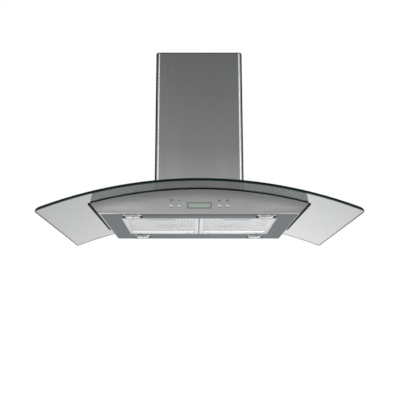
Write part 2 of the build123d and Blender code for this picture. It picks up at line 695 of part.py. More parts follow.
with BuildPart() as upper_posts:
    with BuildSketch(Plane.XY.offset(above(UPPER_POST_BOTTOM))):
        four_posts(UPPER_HALF, POST_LEG, POST_SHEET)
    extrude(amount=BRACKET_BOTTOM - UPPER_POST_BOTTOM)
    # long slots, so that the frame can be set to any height
    slot_top = LOCK_HEIGHT + 6
    slot_bottom = LOCK_HEIGHT - HEIGHT_TRAVEL - 6
    with BuildSketch(Plane.YZ.offset(-CHIMNEY)):
        with Locations(*[(s * LOCK_Y, above((slot_top + slot_bottom) / 2)) for s in (-1, 1)]):
            SlotOverall(slot_top - slot_bottom, 6, rotation=90)
    extrude(amount=2 * CHIMNEY, mode=Mode.SUBTRACT)
save(upper_posts, "upper_posts")

with BuildPart() as chimney_upper_cover:
    cover_tube(UPPER_INSET, UPPER_COVER_BOTTOM, BRACKET_BOTTOM)
    # four lips turned in under the bracket, between the posts
    with BuildSketch(Plane.XY.offset(above(BRACKET_BOTTOM - SHEET))):
        RectangleRounded(UPPER_COVER - SHEET, UPPER_COVER - SHEET, CHIMNEY_CORNER - 2)
        lip_hole = UPPER_COVER - 2 * COVER_LIP
        Rectangle(lip_hole, lip_hole, mode=Mode.SUBTRACT)
        with GridLocations(UPPER_COVER, UPPER_COVER, 2, 2):
            Rectangle(84, 84, mode=Mode.SUBTRACT)
        with Locations(*HANGER_SCREWS):
            Circle(2, mode=Mode.SUBTRACT)
    extrude(amount=SHEET)
save(chimney_upper_cover, "chimney_upper_cover")

with BuildPart() as cover_hanger_screws:
    with BuildSketch(Plane.XY.offset(above(BRACKET_BOTTOM - SHEET - 2))):
        with Locations(*HANGER_SCREWS):
            Circle(3.5)
    extrude(amount=2)
    with BuildSketch(Plane.XY.offset(above(BRACKET_BOTTOM - SHEET))):
        with Locations(*HANGER_SCREWS):
            Circle(2)
    extrude(amount=SHEET + BRACKET - 0.4)
save(cover_hanger_screws, "cover_hanger_screws")

# ---------------------------------------------------------------- motor box
TERMINAL = 78.0                 # x and y of the terminal box's middle
TERMINAL_SIZE = 38.0
TERMINAL_TALL = 24.0
OUTLET_PLATE = 238.0
BOX_INNER = BOX - 2 * SHEET

with BuildPart() as motor_box:
    with BuildSketch(Plane.XY.offset(above(GLASS_APEX - 20))):
        Rectangle(BOX, BOX)
    extrude(amount=BOX_TOP - GLASS_APEX + 20)
    with BuildSketch(Plane.XY.offset(above(GLASS_APEX - 20))):
        Rectangle(BOX_INNER, BOX_INNER)
    extrude(amount=BOX_TOP - SHEET - GLASS_APEX + 20, mode=Mode.SUBTRACT)
    with BuildSketch(Plane.XY.offset(above(BOX_TOP))):
        Circle(SPIGOT_RADIUS - 1.5)
        with Locations((TERMINAL, TERMINAL)):
            Circle(6)
    extrude(amount=-SHEET, mode=Mode.SUBTRACT)
    trim_below_arch(DECK_RADIUS, BOX)
save(motor_box, "motor_box")

# ---------------------------------------------------------------- fan
SCROLL_HALF = 42.0
SCROLL_WALL = 2.0
TONGUE_ANGLE = 60.0
TONGUE_RADIUS = 68.0
SPIRAL_GROWTH = 12.0            # from the tongue round to the outlet
INLET_RADIUS = 50.0
WHEEL_RADIUS = 62.0
WHEEL_HALF = 36.0
BLADES = 30
BLADE_RING = 56.0               # middle radius of the blades
BLADE_CHORD = 11.0
SHAFT_RADIUS = 4.0
MOTOR_FRONT = 46.0
MOTOR_BACK = 90.0
MOTOR_RADIUS = 34.0
FAN_CENTRE = (FAN_Y, above(FAN_HEIGHT))


def spiral_point(angle, extra):
    """A point of the scroll's spiral, at an angle from +Y towards +Z, in the YZ plane."""
    share = (angle - TONGUE_ANGLE) / (360 - TONGUE_ANGLE)
    radius = TONGUE_RADIUS + SPIRAL_GROWTH * share + extra
    turn = math.radians(angle)
    return (FAN_Y + radius * math.cos(turn), above(FAN_HEIGHT) + radius * math.sin(turn))


def scroll_outline(extra):
    """The scroll's outline, grown by a wall, with its outlet going straight up."""
    tongue_y = TONGUE_RADIUS * math.cos(math.radians(TONGUE_ANGLE)) - extra
    start = math.degrees(math.acos(tongue_y / (TONGUE_RADIUS + extra)))
    step = (360 - start) / 5
    with BuildLine() as outline:
        for turn in range(5):
            first = start + turn * step
            ThreePointArc(
                spiral_point(first, extra),
                spiral_point(first + step / 2, extra),
                spiral_point(first + step, extra),
            )
        outlet_y = spiral_point(360, extra)[0]
        Polyline(
            spiral_point(360, extra),
            (outlet_y, above(OUTLET_PLATE)),
            (spiral_point(start, extra)[0], above(OUTLET_PLATE)),
            spiral_point(start, extra),
        )
    make_face(outline.edges())


with BuildPart() as fan_scroll:
    with BuildSketch(Plane.YZ.offset(-SCROLL_HALF)):
        scroll_outline(SCROLL_WALL)
    extrude(amount=2 * SCROLL_HALF)
    with BuildSketch(Plane.YZ.offset(SCROLL_WALL - SCROLL_HALF)):
        scroll_outline(0)
    extrude(amount=2 * (SCROLL_HALF - SCROLL_WALL), mode=Mode.SUBTRACT)
    with BuildSketch(Plane.YZ.offset(-SCROLL_HALF)):
        with Locations(FAN_CENTRE):
            Circle(INLET_RADIUS)
    extrude(amount=2 * SCROLL_HALF, mode=Mode.SUBTRACT)
save(fan_scroll, "fan_scroll")

with BuildPart() as outlet_plate:
    tongue_gap = spiral_point(TONGUE_ANGLE, 0)[0]
    outlet_gap = spiral_point(360, 0)[0]
    with BuildSketch(Plane.XY.offset(above(OUTLET_PLATE))):
        Rectangle(BOX_INNER, BOX_INNER)
        with Locations((0, (tongue_gap + outlet_gap) / 2)):
            Rectangle(2 * (SCROLL_HALF - SCROLL_WALL), outlet_gap - tongue_gap, mode=Mode.SUBTRACT)
    extrude(amount=SHEET)
save(outlet_plate, "outlet_plate")

with BuildPart() as fan_wheel:
    with BuildSketch(Plane.YZ.offset(-WHEEL_HALF)):
        with Locations(FAN_CENTRE):
            with PolarLocations(BLADE_RING, BLADES):
                Rectangle(BLADE_CHORD, 1, rotation=35)
    extrude(amount=2 * WHEEL_HALF)
    for ring_x in (-WHEEL_HALF, -1, WHEEL_HALF - 2):
        with BuildSketch(Plane.YZ.offset(ring_x)):
            with Locations(FAN_CENTRE):
                Circle(WHEEL_RADIUS)
                if ring_x != -1:
                    Circle(INLET_RADIUS + 1, mode=Mode.SUBTRACT)
        extrude(amount=2)
    with BuildSketch(Plane.YZ.offset(-12)):
        with Locations(FAN_CENTRE):
            Circle(9)
    extrude(amount=24)
    with BuildSketch(Plane.YZ.offset(-12)):
        with Locations(FAN_CENTRE):
            Circle(SHAFT_RADIUS)
    extrude(amount=24, mode=Mode.SUBTRACT)
save(fan_wheel, "fan_wheel")

with BuildPart() as fan_shaft:
    with BuildSketch(Plane.YZ.offset(-16)):
        with Locations(FAN_CENTRE):
            Circle(SHAFT_RADIUS)
    extrude(amount=MOTOR_BACK + 14)
save(fan_shaft, "fan_shaft")

with BuildPart() as fan_motor:
    with BuildSketch(Plane.YZ.offset(MOTOR_FRONT)):
        with Locations(FAN_CENTRE):
            Circle(MOTOR_RADIUS)
    extrude(amount=MOTOR_BACK - MOTOR_FRONT)
    fillet(fan_motor.edges().filter_by(GeomType.CIRCLE), 3)
    with BuildSketch(Plane.YZ.offset(MOTOR_FRONT)):
        with Locations(FAN_CENTRE):
            Circle(SHAFT_RADIUS + 0.06)
    extrude(amount=MOTOR_BACK - MOTOR_FRONT, mode=Mode.SUBTRACT)
save(fan_motor, "fan_motor")

with BuildPart() as motor_bracket:
    arm_reach = INLET_RADIUS + 8
    with BuildSketch(Plane.YZ.offset(MOTOR_FRONT - 2)):
        with Locations(FAN_CENTRE):
            Circle(MOTOR_RADIUS - 6)
            with PolarLocations(arm_reach / 2, 3):
                Rectangle(arm_reach, 12)
            Circle(8, mode=Mode.SUBTRACT)
    extrude(amount=2)
    with BuildSketch(Plane.YZ.offset(SCROLL_HALF)):
        with Locations(FAN_CENTRE):
            with PolarLocations(arm_reach - 3, 3):
                Rectangle(6, 12)
    extrude(amount=MOTOR_FRONT - 2 - SCROLL_HALF)
save(motor_bracket, "motor_bracket")

with BuildPart() as run_capacitor:
    with BuildSketch(Plane.XY.offset(above(100))):
        with Locations((-BOX_INNER / 2 + 16, BOX_INNER / 2 - 16)):
            Circle(15)
    extrude(amount=60)
    fillet(run_capacitor.edges().filter_by(GeomType.CIRCLE), 2)
save(run_capacitor, "run_capacitor")

# ---------------------------------------------------------------- outlet with its backdraught flaps
FLAP_HEIGHT = 276.0
FLAP_RADIUS = SPIGOT_RADIUS - 2.5
FLAP_PIN_Y = 5.0
FLAP_PIN_RADIUS = 1.25
BARREL_RADIUS = 2.2
SPIGOT_WALL = 1.5
STOP_TOP = FLAP_HEIGHT - 1.0

with BuildPart() as outlet_collar:
    with BuildSketch(Plane.XY.offset(above(BOX_TOP))):
        Circle(SPIGOT_RADIUS + 6)
    extrude(amount=1.5)
    with BuildSketch(Plane.XY.offset(above(BOX_TOP))):
        Circle(SPIGOT_RADIUS)
    extrude(amount=SPIGOT_TOP - BOX_TOP)
    with BuildSketch(Plane.XY.offset(above(BOX_TOP))):
        Circle(SPIGOT_RADIUS - 4.5)
    extrude(amount=SPIGOT_TOP - BOX_TOP, mode=Mode.SUBTRACT)
    with BuildSketch(Plane.XY.offset(above(STOP_TOP))):
        Circle(SPIGOT_RADIUS - SPIGOT_WALL)
    extrude(amount=SPIGOT_TOP - STOP_TOP, mode=Mode.SUBTRACT)
    # the bridge between the two flaps
    with BuildSketch(Plane.XY.offset(above(STOP_TOP - 3))):
        Rectangle(2 * SPIGOT_RADIUS - SPIGOT_WALL, 2 * (FLAP_PIN_Y - BARREL_RADIUS) - 1.2)
    extrude(amount=6)
    with BuildSketch(Plane.YZ.offset(-SPIGOT_RADIUS)):
        with Locations(*[(s * FLAP_PIN_Y, above(FLAP_HEIGHT)) for s in (-1, 1)]):
            Circle(FLAP_PIN_RADIUS)
    extrude(amount=2 * SPIGOT_RADIUS, mode=Mode.SUBTRACT)
    # room for the flaps' barrels above the stop ring
    with BuildSketch(Plane.YZ.offset(-FLAP_RADIUS)):
        with Locations(*[(s * FLAP_PIN_Y, above(FLAP_HEIGHT)) for s in (-1, 1)]):
            Circle(BARREL_RADIUS + 0.3)
    extrude(amount=2 * FLAP_RADIUS, mode=Mode.SUBTRACT)
save(outlet_collar, "outlet_collar")

with BuildPart() as flap_pins:
    with BuildSketch(Plane.YZ.offset(0.3 - SPIGOT_RADIUS)):
        with Locations(*[(s * FLAP_PIN_Y, above(FLAP_HEIGHT)) for s in (-1, 1)]):
            Circle(FLAP_PIN_RADIUS)
    extrude(amount=2 * SPIGOT_RADIUS - 0.6)
save(flap_pins, "flap_pins")

for flap_name, flap_side in (("flap_front", -1), ("flap_rear", 1)):
    with BuildPart() as flap:
        with BuildSketch(Plane.XY.offset(above(FLAP_HEIGHT - 0.5))):
            Circle(FLAP_RADIUS)
            with Locations((0, flap_side * (FLAP_PIN_Y + FLAP_RADIUS))):
                Rectangle(3 * FLAP_RADIUS, 2 * FLAP_RADIUS, mode=Mode.INTERSECT)
        extrude(amount=1)
        with BuildSketch(Plane.YZ.offset(1 - FLAP_RADIUS)):
            with Locations((flap_side * FLAP_PIN_Y, above(FLAP_HEIGHT))):
                Circle(BARREL_RADIUS)
        extrude(amount=2 * FLAP_RADIUS - 2)
        with BuildSketch(Plane.YZ.offset(-FLAP_RADIUS)):
            with Locations((flap_side * FLAP_PIN_Y, above(FLAP_HEIGHT))):
                Circle(FLAP_PIN_RADIUS + 0.05)
        extrude(amount=2 * FLAP_RADIUS, mode=Mode.SUBTRACT)
    save(flap, flap_name)

# ---------------------------------------------------------------- electrics
GLAND_BORE = 4.0

with BuildPart() as terminal_box:
    with BuildSketch(Plane.XY.offset(above(BOX_TOP))):
        with Locations((TERMINAL, TERMINAL)):
            RectangleRounded(TERMINAL_SIZE, TERMINAL_SIZE, 3)
    extrude(amount=TERMINAL_TALL)
    with BuildSketch(Plane.XY.offset(above(BOX_TOP))):
        with Locations((TERMINAL, TERMINAL)):
            Rectangle(TERMINAL_SIZE - 4, TERMINAL_SIZE - 4)
    extrude(amount=TERMINAL_TALL - 2, mode=Mode.SUBTRACT)
    with BuildSketch(Plane.XY.offset(above(BOX_TOP + TERMINAL_TALL))):
        with Locations((TERMINAL, TERMINAL)):
            Circle(8)
    extrude(amount=-2, mode=Mode.SUBTRACT)
save(terminal_box, "terminal_box")

with BuildPart() as cable_gland:
    gland_foot = BOX_TOP + TERMINAL_TALL - 6
    with BuildSketch(Plane.XY.offset(above(gland_foot))):
        with Locations((TERMINAL, TERMINAL)):
            Circle(8)
    extrude(amount=18)
    with BuildSketch(Plane.XY.offset(above(BOX_TOP + TERMINAL_TALL))):
        with Locations((TERMINAL, TERMINAL)):
            RegularPolygon(11, 6)
    extrude(amount=5)
    with BuildSketch(Plane.XY.offset(above(gland_foot))):
        with Locations((TERMINAL, TERMINAL)):
            Circle(GLAND_BORE)
    extrude(amount=18, mode=Mode.SUBTRACT)
save(cable_gland, "cable_gland")

for name, box_side, length in (("lamp_transformer", -1, 110.0), ("electronics_box", 1, 160.0)):
    with BuildPart() as side_box:
        with BuildSketch(Plane.XY.offset(above(SHEET))):
            with Locations((box_side * (FILTER_HALF + 26), FILTER_MIDDLE)):
                RectangleRounded(36, length, 2)
        extrude(amount=24)
        fillet(side_box.faces().sort_by(Axis.Z)[-1].edges(), 1.5)
    save(side_box, name)
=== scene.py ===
import math

import bmesh
import bpy
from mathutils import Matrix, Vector


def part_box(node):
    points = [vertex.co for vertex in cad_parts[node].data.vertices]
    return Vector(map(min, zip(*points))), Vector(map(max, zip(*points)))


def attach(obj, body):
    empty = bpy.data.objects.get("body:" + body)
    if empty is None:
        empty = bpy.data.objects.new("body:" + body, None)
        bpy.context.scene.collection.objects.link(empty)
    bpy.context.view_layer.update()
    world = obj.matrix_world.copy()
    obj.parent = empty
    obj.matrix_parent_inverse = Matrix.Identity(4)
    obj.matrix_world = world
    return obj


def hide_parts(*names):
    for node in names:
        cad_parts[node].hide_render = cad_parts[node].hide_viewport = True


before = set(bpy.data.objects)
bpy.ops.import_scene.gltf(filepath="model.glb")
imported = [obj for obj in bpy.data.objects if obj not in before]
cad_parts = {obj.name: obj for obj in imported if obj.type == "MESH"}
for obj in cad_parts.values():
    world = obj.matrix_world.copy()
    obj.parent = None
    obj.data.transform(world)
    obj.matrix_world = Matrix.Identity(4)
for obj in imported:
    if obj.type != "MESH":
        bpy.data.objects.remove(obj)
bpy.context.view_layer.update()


# ---------------------------------------------------------------- places on the part
# Metres, in the part's own frame: the origin is in the ceiling plane, +Z up, the controls face -Y.
def middle_of(node, axis):
    low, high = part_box(node)
    return (low[axis] + high[axis]) / 2


X, Y, Z = 0, 1, 2
LENS_SEAT = 0.002                # of the lamp lenses above the underside
FLOOR_DROP = 0.95                # from the underside to the floor
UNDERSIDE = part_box("lamp_lens_front_left")[0].z - LENS_SEAT
FLOOR = UNDERSIDE - FLOOR_DROP
FASCIA_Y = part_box("fascia")[0].y
GLASS_LOW, GLASS_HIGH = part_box("glass_canopy")
SEAL_LOW, SEAL_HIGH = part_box("glass_gasket")

CREASE_INSET = 0.0100            # from a cover's side to the painted highlight along its fold
COVER_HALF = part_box("chimney_lower_cover")[1].x
COVER_CREASE = COVER_HALF - CREASE_INSET
COVER_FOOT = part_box("chimney_lower_cover")[0].z
COVER_LIGHT_X = 0.072            # middle of the band of painted reflection on either side of a cover's face

FILTER_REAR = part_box("filter_mesh_left")[1].y
PLEAT_PITCH = 0.0072             # of the filter pack's folds, side to side
BEAT_PITCH = 0.0260              # of the pattern in which its layers beat, front to back
PATCH_X = 0.09                   # middle of the patch of painted shade on each filter pack
PATCH_Y = 0.012

LAMP_X = middle_of("lamp_lens_front_right", X)
LAMP_FRONT_Y = middle_of("lamp_lens_front_right", Y)
LAMP_REAR_Y = middle_of("lamp_lens_rear_right", Y)
LAMP_MIDDLE_Y = (LAMP_FRONT_Y + LAMP_REAR_Y) / 2

BUTTON_INNER_X = middle_of("button_plus", X)
BUTTON_OUTER_X = middle_of("button_power", X)
BUTTON_PAIR_X = (BUTTON_INNER_X + BUTTON_OUTER_X) / 2
BUTTON_Z = middle_of("button_plus", Z)


# ---------------------------------------------------------------- node helpers
NOISE_LOW = 0.3                  # a noise's values lie mostly between these two
NOISE_HIGH = 0.7


def new_material(name):
    """A material with one Principled shader: the material, its tree and the shader."""
    material = bpy.data.materials.new(name)
    material.use_nodes = True
    tree = material.node_tree
    return material, tree, tree.nodes["Principled BSDF"]


def feed(tree, socket, value):
    """Give a socket a number, a colour, or what another node puts out."""
    if isinstance(value, (int, float)):
        socket.default_value = value
    elif isinstance(value, tuple):
        socket.default_value = (*value, 1.0)
    else:
        tree.links.new(value, socket)


def coordinates(tree, scale, turn=(0, 0, 0)):
    """The piece's own coordinates in metres, stretched by a scale for each axis."""
    source = tree.nodes.new("ShaderNodeTexCoord")
    mapping = tree.nodes.new("ShaderNodeMapping")
    mapping.inputs["Scale"].default_value = scale
    mapping.inputs["Rotation"].default_value = turn
    tree.links.new(source.outputs["Object"], mapping.inputs["Vector"])
    return mapping.outputs["Vector"]


def object_axes(tree):
    """The X, Y and Z of a point of the object, in metres, as three values."""
    source = tree.nodes.new("ShaderNodeTexCoord")
    split = tree.nodes.new("ShaderNodeSeparateXYZ")
    tree.links.new(source.outputs["Object"], split.inputs["Vector"])
    return split.outputs["X"], split.outputs["Y"], split.outputs["Z"]


def noise(tree, scale, detail=2.0):
    """A noise value from 0 to 1 whose grain is 1 / scale metres along each axis."""
    texture = tree.nodes.new("ShaderNodeTexNoise")
    texture.inputs["Scale"].default_value = 1.0
    texture.inputs["Detail"].default_value = detail
    texture.inputs["Roughness"].default_value = 0.5
    tree.links.new(coordinates(tree, scale), texture.inputs["Vector"])
    return texture.outputs["Fac"]


def remap(tree, value, low, high, new_low, new_high):
    """A value spread from one range to another, clamped."""
    node = tree.nodes.new("ShaderNodeMapRange")
    node.inputs["From Min"].default_value = low
    node.inputs["From Max"].default_value = high
    node.inputs["To Min"].default_value = new_low
    node.inputs["To Max"].default_value = new_high
    tree.links.new(value, node.inputs["Value"])
    return node.outputs["Result"]


def maths(tree, operation, first, second=0.0):
    node = tree.nodes.new("ShaderNodeMath")
    node.operation = operation
    feed(tree, node.inputs[0], first)
    feed(tree, node.inputs[1], second)
    return node.outputs["Value"]


def add(tree, first, second):
    return maths(tree, "ADD", first, second)


def times(tree, first, second):
    return maths(tree, "MULTIPLY", first, second)


def larger(tree, first, second):
    return maths(tree, "MAXIMUM", first, second)


def magnitude(tree, value):
    """The value without its sign."""
    return maths(tree, "ABSOLUTE", value)


def distance_from(tree, value, centre):
    return magnitude(tree, add(tree, value, -centre))


def hypotenuse(tree, first, second):
    squares = add(tree, times(tree, first, first), times(tree, second, second))
    return maths(tree, "POWER", squares, 0.5)


def blend_colours(tree, factor, first, second):
    """A colour that goes from the first to the second as the factor goes from 0 to 1."""
    node = tree.nodes.new("ShaderNodeMix")
    node.data_type = "RGBA"
    tree.links.new(factor, node.inputs["Factor"])
    feed(tree, node.inputs[6], first)
    feed(tree, node.inputs[7], second)
    return node.outputs[2]


def shade(colour, amount):
    """A colour made lighter or darker by a factor."""
    return tuple(min(1.0, channel * amount) for channel in colour)


def set_colour(tree, shader, colour):
    tree.links.new(colour, shader.inputs["Base Color"])


def tint_base(tree, shader, *tints):
    """Lay tints, each a factor and a colour, over the base colour that the shader has so far."""
    face = shader.inputs["Base Color"].links[0].from_socket
    for factor, colour in tints:
        face = blend_colours(tree, factor, face, colour)
    set_colour(tree, shader, face)


def set_roughness(tree, shader, texture, smooth, rough):
    """Roughness that follows a noise."""
    tree.links.new(remap(tree, texture, NOISE_LOW, NOISE_HIGH, smooth, rough), shader.inputs["Roughness"])


def add_bump(tree, shader, height, strength, distance):
    bump = tree.nodes.new("ShaderNodeBump")
    bump.inputs["Strength"].default_value = strength
    bump.inputs["Distance"].default_value = distance
    tree.links.new(height, bump.inputs["Height"])
    tree.links.new(bump.outputs["Normal"], shader.inputs["Normal"])


# ---------------------------------------------------------------- metals
FINE_GRAIN = 1400.0              # per metre, across the brushing and in plated skins
ALONG_GRAIN = 9.0                # per metre, along the brushing
BROAD_BAND = 16.0                # the same two for the soft bands
ALONG_BAND = 3.0
# the colour of painted light on steel
PAINTED_LIGHT_STEEL = (0.62, 0.62, 0.62)


def brushed_grain(tree, along):
    """The fine grain and the soft broad bands of brushing along one axis."""
    fine_scale = [FINE_GRAIN, FINE_GRAIN, FINE_GRAIN]
    band_scale = [BROAD_BAND, BROAD_BAND, BROAD_BAND]
    fine_scale["XYZ".index(along)] = ALONG_GRAIN
    band_scale["XYZ".index(along)] = ALONG_BAND
    return noise(tree, fine_scale, detail=3.0), noise(tree, band_scale, detail=1.0)


def handling_marks(tree):
    return noise(tree, (90.0, 90.0, 90.0), detail=4.0)


def brushed_metal(name, colour, along, roughness=0.3, edge_tint=1.0):
    """Metal with a fine grain that runs along one axis, over soft broad bands."""
    material, tree, shader = new_material(name)
    fine, band = brushed_grain(tree, along)
    dark = blend_colours(tree, band, shade(colour, 0.97), shade(colour, 1.03))
    light = blend_colours(tree, band, shade(colour, 1.05), shade(colour, 1.11))
    set_colour(tree, shader, blend_colours(tree, remap(tree, fine, 0.35, 0.65, 0, 1), dark, light))
    set_roughness(tree, shader, fine, roughness - 0.05, roughness + 0.08)
    shader.inputs["Metallic"].default_value = 1.0
    shader.inputs["Specular Tint"].default_value = (edge_tint, edge_tint, edge_tint, 1.0)
    add_bump(tree, shader, fine, 0.06, 0.0001)
    return material, tree, shader


def fascia_steel(name, colour):
    """Brushed steel of the control panel, with painted light towards its ends, a painted highlight along
    its lower edge and painted shade low at its ends.
    """
    material, tree, shader = brushed_metal(name, colour, "X")
    # the colour of the painted shade low at the ends
    dim = (0.18, 0.18, 0.18)
    x, _, z = object_axes(tree)
    sideways = magnitude(tree, x)
    # painted light towards the ends
    ends = times(tree, remap(tree, sideways, 0.14, 0.27, 0, 0.34),
                 remap(tree, z, UNDERSIDE + 0.004, UNDERSIDE + 0.022, 0.1, 1))
    # painted shade low at the ends
    painted_low_end_shade = times(tree, remap(tree, sideways, 0.17, 0.25, 0, 0.4),
                     remap(tree, z, UNDERSIDE + 0.006, UNDERSIDE + 0.018, 1, 0))
    # painted highlight along the lower edge, strongest at the ends
    edge = times(tree, remap(tree, sideways, 0.20, 0.26, 0.12, 0.70),
                 remap(tree, z, UNDERSIDE + 0.0025, UNDERSIDE + 0.0035, 1, 0))
    tint_base(tree, shader, (ends, PAINTED_LIGHT_STEEL), (painted_low_end_shade, dim), (edge, PAINTED_LIGHT_STEEL))
    return material


def panel_steel(name, colour):
    """Brushed steel of the underside: matt when seen edge-on, with painted shade next to the control panel.
    """
    material, tree, shader = brushed_metal(name, colour, "X", 0.34, edge_tint=0.46)
    x, y, _ = object_axes(tree)
    # painted shade along the strip next to the control panel
    painted_front_shade = times(tree, remap(tree, y, FASCIA_Y + 0.005, FASCIA_Y + 0.032, 0.75, 0),
                   remap(tree, magnitude(tree, x), 0.19, 0.24, 1, 0.3))
    tint_base(tree, shader, (painted_front_shade, (0.05, 0.05, 0.05)))
    return material


def frame_aluminium(name, colour):
    """Brushed aluminium of the filter frames, with painted shadow where the two filters meet."""
    material, tree, shader = brushed_metal(name, colour, "X", 0.35, edge_tint=0.9)
    x, _, _ = object_axes(tree)
    # painted shadow in the joint between the two filters
    painted_seam_shadow = remap(tree, magnitude(tree, x), 0.0012, 0.0018, 1, 0)
    tint_base(tree, shader, (painted_seam_shadow, (0.10, 0.10, 0.10)))
    return material


def cover_steel(name, colour):
    """Brushed steel of the chimney covers: painted highlights along the folds, painted shade in the tight
    corners.
    """
    material, tree, shader = new_material(name)
    fine, band = brushed_grain(tree, "Z")
    face = blend_colours(tree, band, shade(colour, 0.98), shade(colour, 1.02))
    set_colour(tree, shader,
               blend_colours(tree, remap(tree, fine, 0.35, 0.65, 0, 1), face, shade(colour, 1.02)))
    set_roughness(tree, shader, fine, 0.26, 0.3)
    shader.inputs["Metallic"].default_value = 1.0

    x, y, z = object_axes(tree)
    sideways = magnitude(tree, x)
    near_front = remap(tree, magnitude(tree, y), COVER_HALF - 0.0045, COVER_HALF - 0.004, 0, 1)
    # painted highlight along each fold
    painted_fold_highlight = times(tree, remap(tree, distance_from(tree, sideways, COVER_CREASE), 0.0012, 0.0022, 1, 0),
                   near_front)
    # painted shade in the tight corners
    painted_corner_shade = times(tree, remap(tree, sideways, COVER_HALF - 0.0056, COVER_HALF - 0.0036, 0, 1), near_front)
    # painted reflection: the faces grow lighter towards the foot, most of all in a soft band on either side
    foot = remap(tree, z, COVER_FOOT, COVER_FOOT + 0.15, 0.28, 0)
    side_band = times(tree, remap(tree, distance_from(tree, sideways, COVER_LIGHT_X), 0.0, 0.035, 1, 0),
                      remap(tree, z, COVER_FOOT, COVER_FOOT + 0.25, 0.07, 0))
    # painted shade: darker towards the top
    top = remap(tree, z, -0.27, 0.0, 0, 0.11)
    tint_base(tree, shader, (add(tree, foot, side_band), PAINTED_LIGHT_STEEL), (top, (0.0, 0.0, 0.0)),
              (painted_fold_highlight, (0.66, 0.68, 0.69)), (painted_corner_shade, (0.018, 0.020, 0.022)))
    return material


def woven_metal(name, dark, light):
    """The filter pack's metal: painted shade along the pleat valleys, crossed into a faint pattern of
    diamonds, and a patch of painted shade near each pack's middle.
    """
    material, tree, shader = new_material(name)
    x, y, _ = object_axes(tree)
    across = maths(tree, "SINE", times(tree, x, 2 * math.pi / PLEAT_PITCH))
    along = maths(tree, "SINE", times(tree, y, 2 * math.pi / BEAT_PITCH))
    # painted shade along the pleat valleys
    stripes = remap(tree, across, -1, 1, 0, 1)
    diamonds = remap(tree, times(tree, across, along), -1, 1, 0, 1)
    pattern = times(tree, add(tree, stripes, diamonds), 0.5)
    # a patch of painted shade near the pack's middle
    patch = times(tree, remap(tree, distance_from(tree, magnitude(tree, x), PATCH_X), 0.0, 0.08, 0.32, 0),
                  remap(tree, distance_from(tree, y, PATCH_Y), 0.0, 0.05, 1, 0))
    set_colour(tree, shader, blend_colours(tree, pattern, dark, light))
    tint_base(tree, shader, (patch, (0.45, 0.45, 0.45)))
    fine = noise(tree, (ALONG_GRAIN, FINE_GRAIN, FINE_GRAIN), detail=3.0)
    set_roughness(tree, shader, fine, 0.4, 0.53)
    shader.inputs["Metallic"].default_value = 1.0
    add_bump(tree, shader, fine, 0.06, 0.0001)
    return material


def rolled_metal(name, plain, bright):
    """The filters' rolled edges: satin, with a painted highlight along the rear one and faint painted light
    along the two sides away from the middle.
    """
    material, tree, shader = new_material(name)
    x, y, z = object_axes(tree)
    marks = handling_marks(tree)
    # faint painted light along the sides away from the middle, and a painted highlight along the rear edge
    painted_side_light = remap(tree, magnitude(tree, x), 0.20, 0.22, 0, 0.15)
    rear = times(tree, remap(tree, y, FILTER_REAR - 0.0070, FILTER_REAR - 0.0060, 0, 1),
                 remap(tree, z, UNDERSIDE + 0.0028, UNDERSIDE + 0.0042, 1, 0.4))
    set_colour(tree, shader, blend_colours(tree, marks, shade(plain, 0.92), shade(plain, 1.06)))
    tint_base(tree, shader, (painted_side_light, bright), (rear, bright))
    set_roughness(tree, shader, marks, 0.2, 0.32)
    shader.inputs["Metallic"].default_value = 1.0
    return material


def zinc_sheet(name, colour):
    """Galvanised sheet: dull metal with faint crystals."""
    material, tree, shader = new_material(name)
    crystals = tree.nodes.new("ShaderNodeTexVoronoi")
    crystals.inputs["Scale"].default_value = 1.0
    tree.links.new(coordinates(tree, (140.0, 140.0, 140.0)), crystals.inputs["Vector"])
    # each crystal's random colour as one grey value
    tone = times(tree, crystals.outputs["Color"], 1.0)
    set_colour(tree, shader, blend_colours(tree, tone, shade(colour, 0.8), shade(colour, 1.15)))
    tree.links.new(remap(tree, tone, 0, 1, 0.38, 0.6), shader.inputs["Roughness"])
    shader.inputs["Metallic"].default_value = 1.0
    add_bump(tree, shader, noise(tree, (300.0, 300.0, 300.0)), 0.15, 0.0003)
    return material


def plated_metal(name, colour, roughness):
    """Smooth plated or turned metal with faint handling marks."""
    material, tree, shader = new_material(name)
    marks = handling_marks(tree)
    set_colour(tree, shader, blend_colours(tree, marks, shade(colour, 0.92), shade(colour, 1.06)))
    set_roughness(tree, shader, marks, roughness, roughness + 0.1)
    shader.inputs["Metallic"].default_value = 1.0
    add_bump(tree, shader, noise(tree, (FINE_GRAIN, FINE_GRAIN, FINE_GRAIN)), 0.04, 0.0001)
    return material


def button_steel(name):
    """A button painted to look dished: a painted highlight round its upper half, painted shade in the
    middle and a painted shadow over its top.
    """
    material, tree, shader = new_material(name)
    x, _, z = object_axes(tree)
    from_pair = distance_from(tree, magnitude(tree, x), BUTTON_PAIR_X)
    across = add(tree, from_pair, BUTTON_PAIR_X - BUTTON_OUTER_X)
    rise = add(tree, z, -BUTTON_Z)
    radius = hypotenuse(tree, across, rise)
    # painted highlight in an arch round the upper half
    arch = times(tree, remap(tree, radius, 0.0014, 0.0022, 0, 1),
                 remap(tree, rise, -0.0030, -0.0010, 0, 1))
    # painted shadow over the button's top
    brow = times(tree, remap(tree, radius, 0.0043, 0.0047, 0, 1), remap(tree, rise, 0.0, 0.0020, 0, 1))
    marks = handling_marks(tree)
    bright = blend_colours(tree, marks, (0.80, 0.80, 0.80), (0.88, 0.88, 0.88))
    # painted shade in the middle, lighter around it
    around_middle = remap(tree, radius, 0.0016, 0.0024, 0, 1)
    set_colour(tree, shader, blend_colours(tree, around_middle, (0.20, 0.20, 0.20), (0.42, 0.42, 0.42)))
    tint_base(tree, shader, (arch, bright), (brow, (0.06, 0.06, 0.06)))
    set_roughness(tree, shader, marks, 0.32, 0.42)
    shader.inputs["Metallic"].default_value = 1.0
    return material


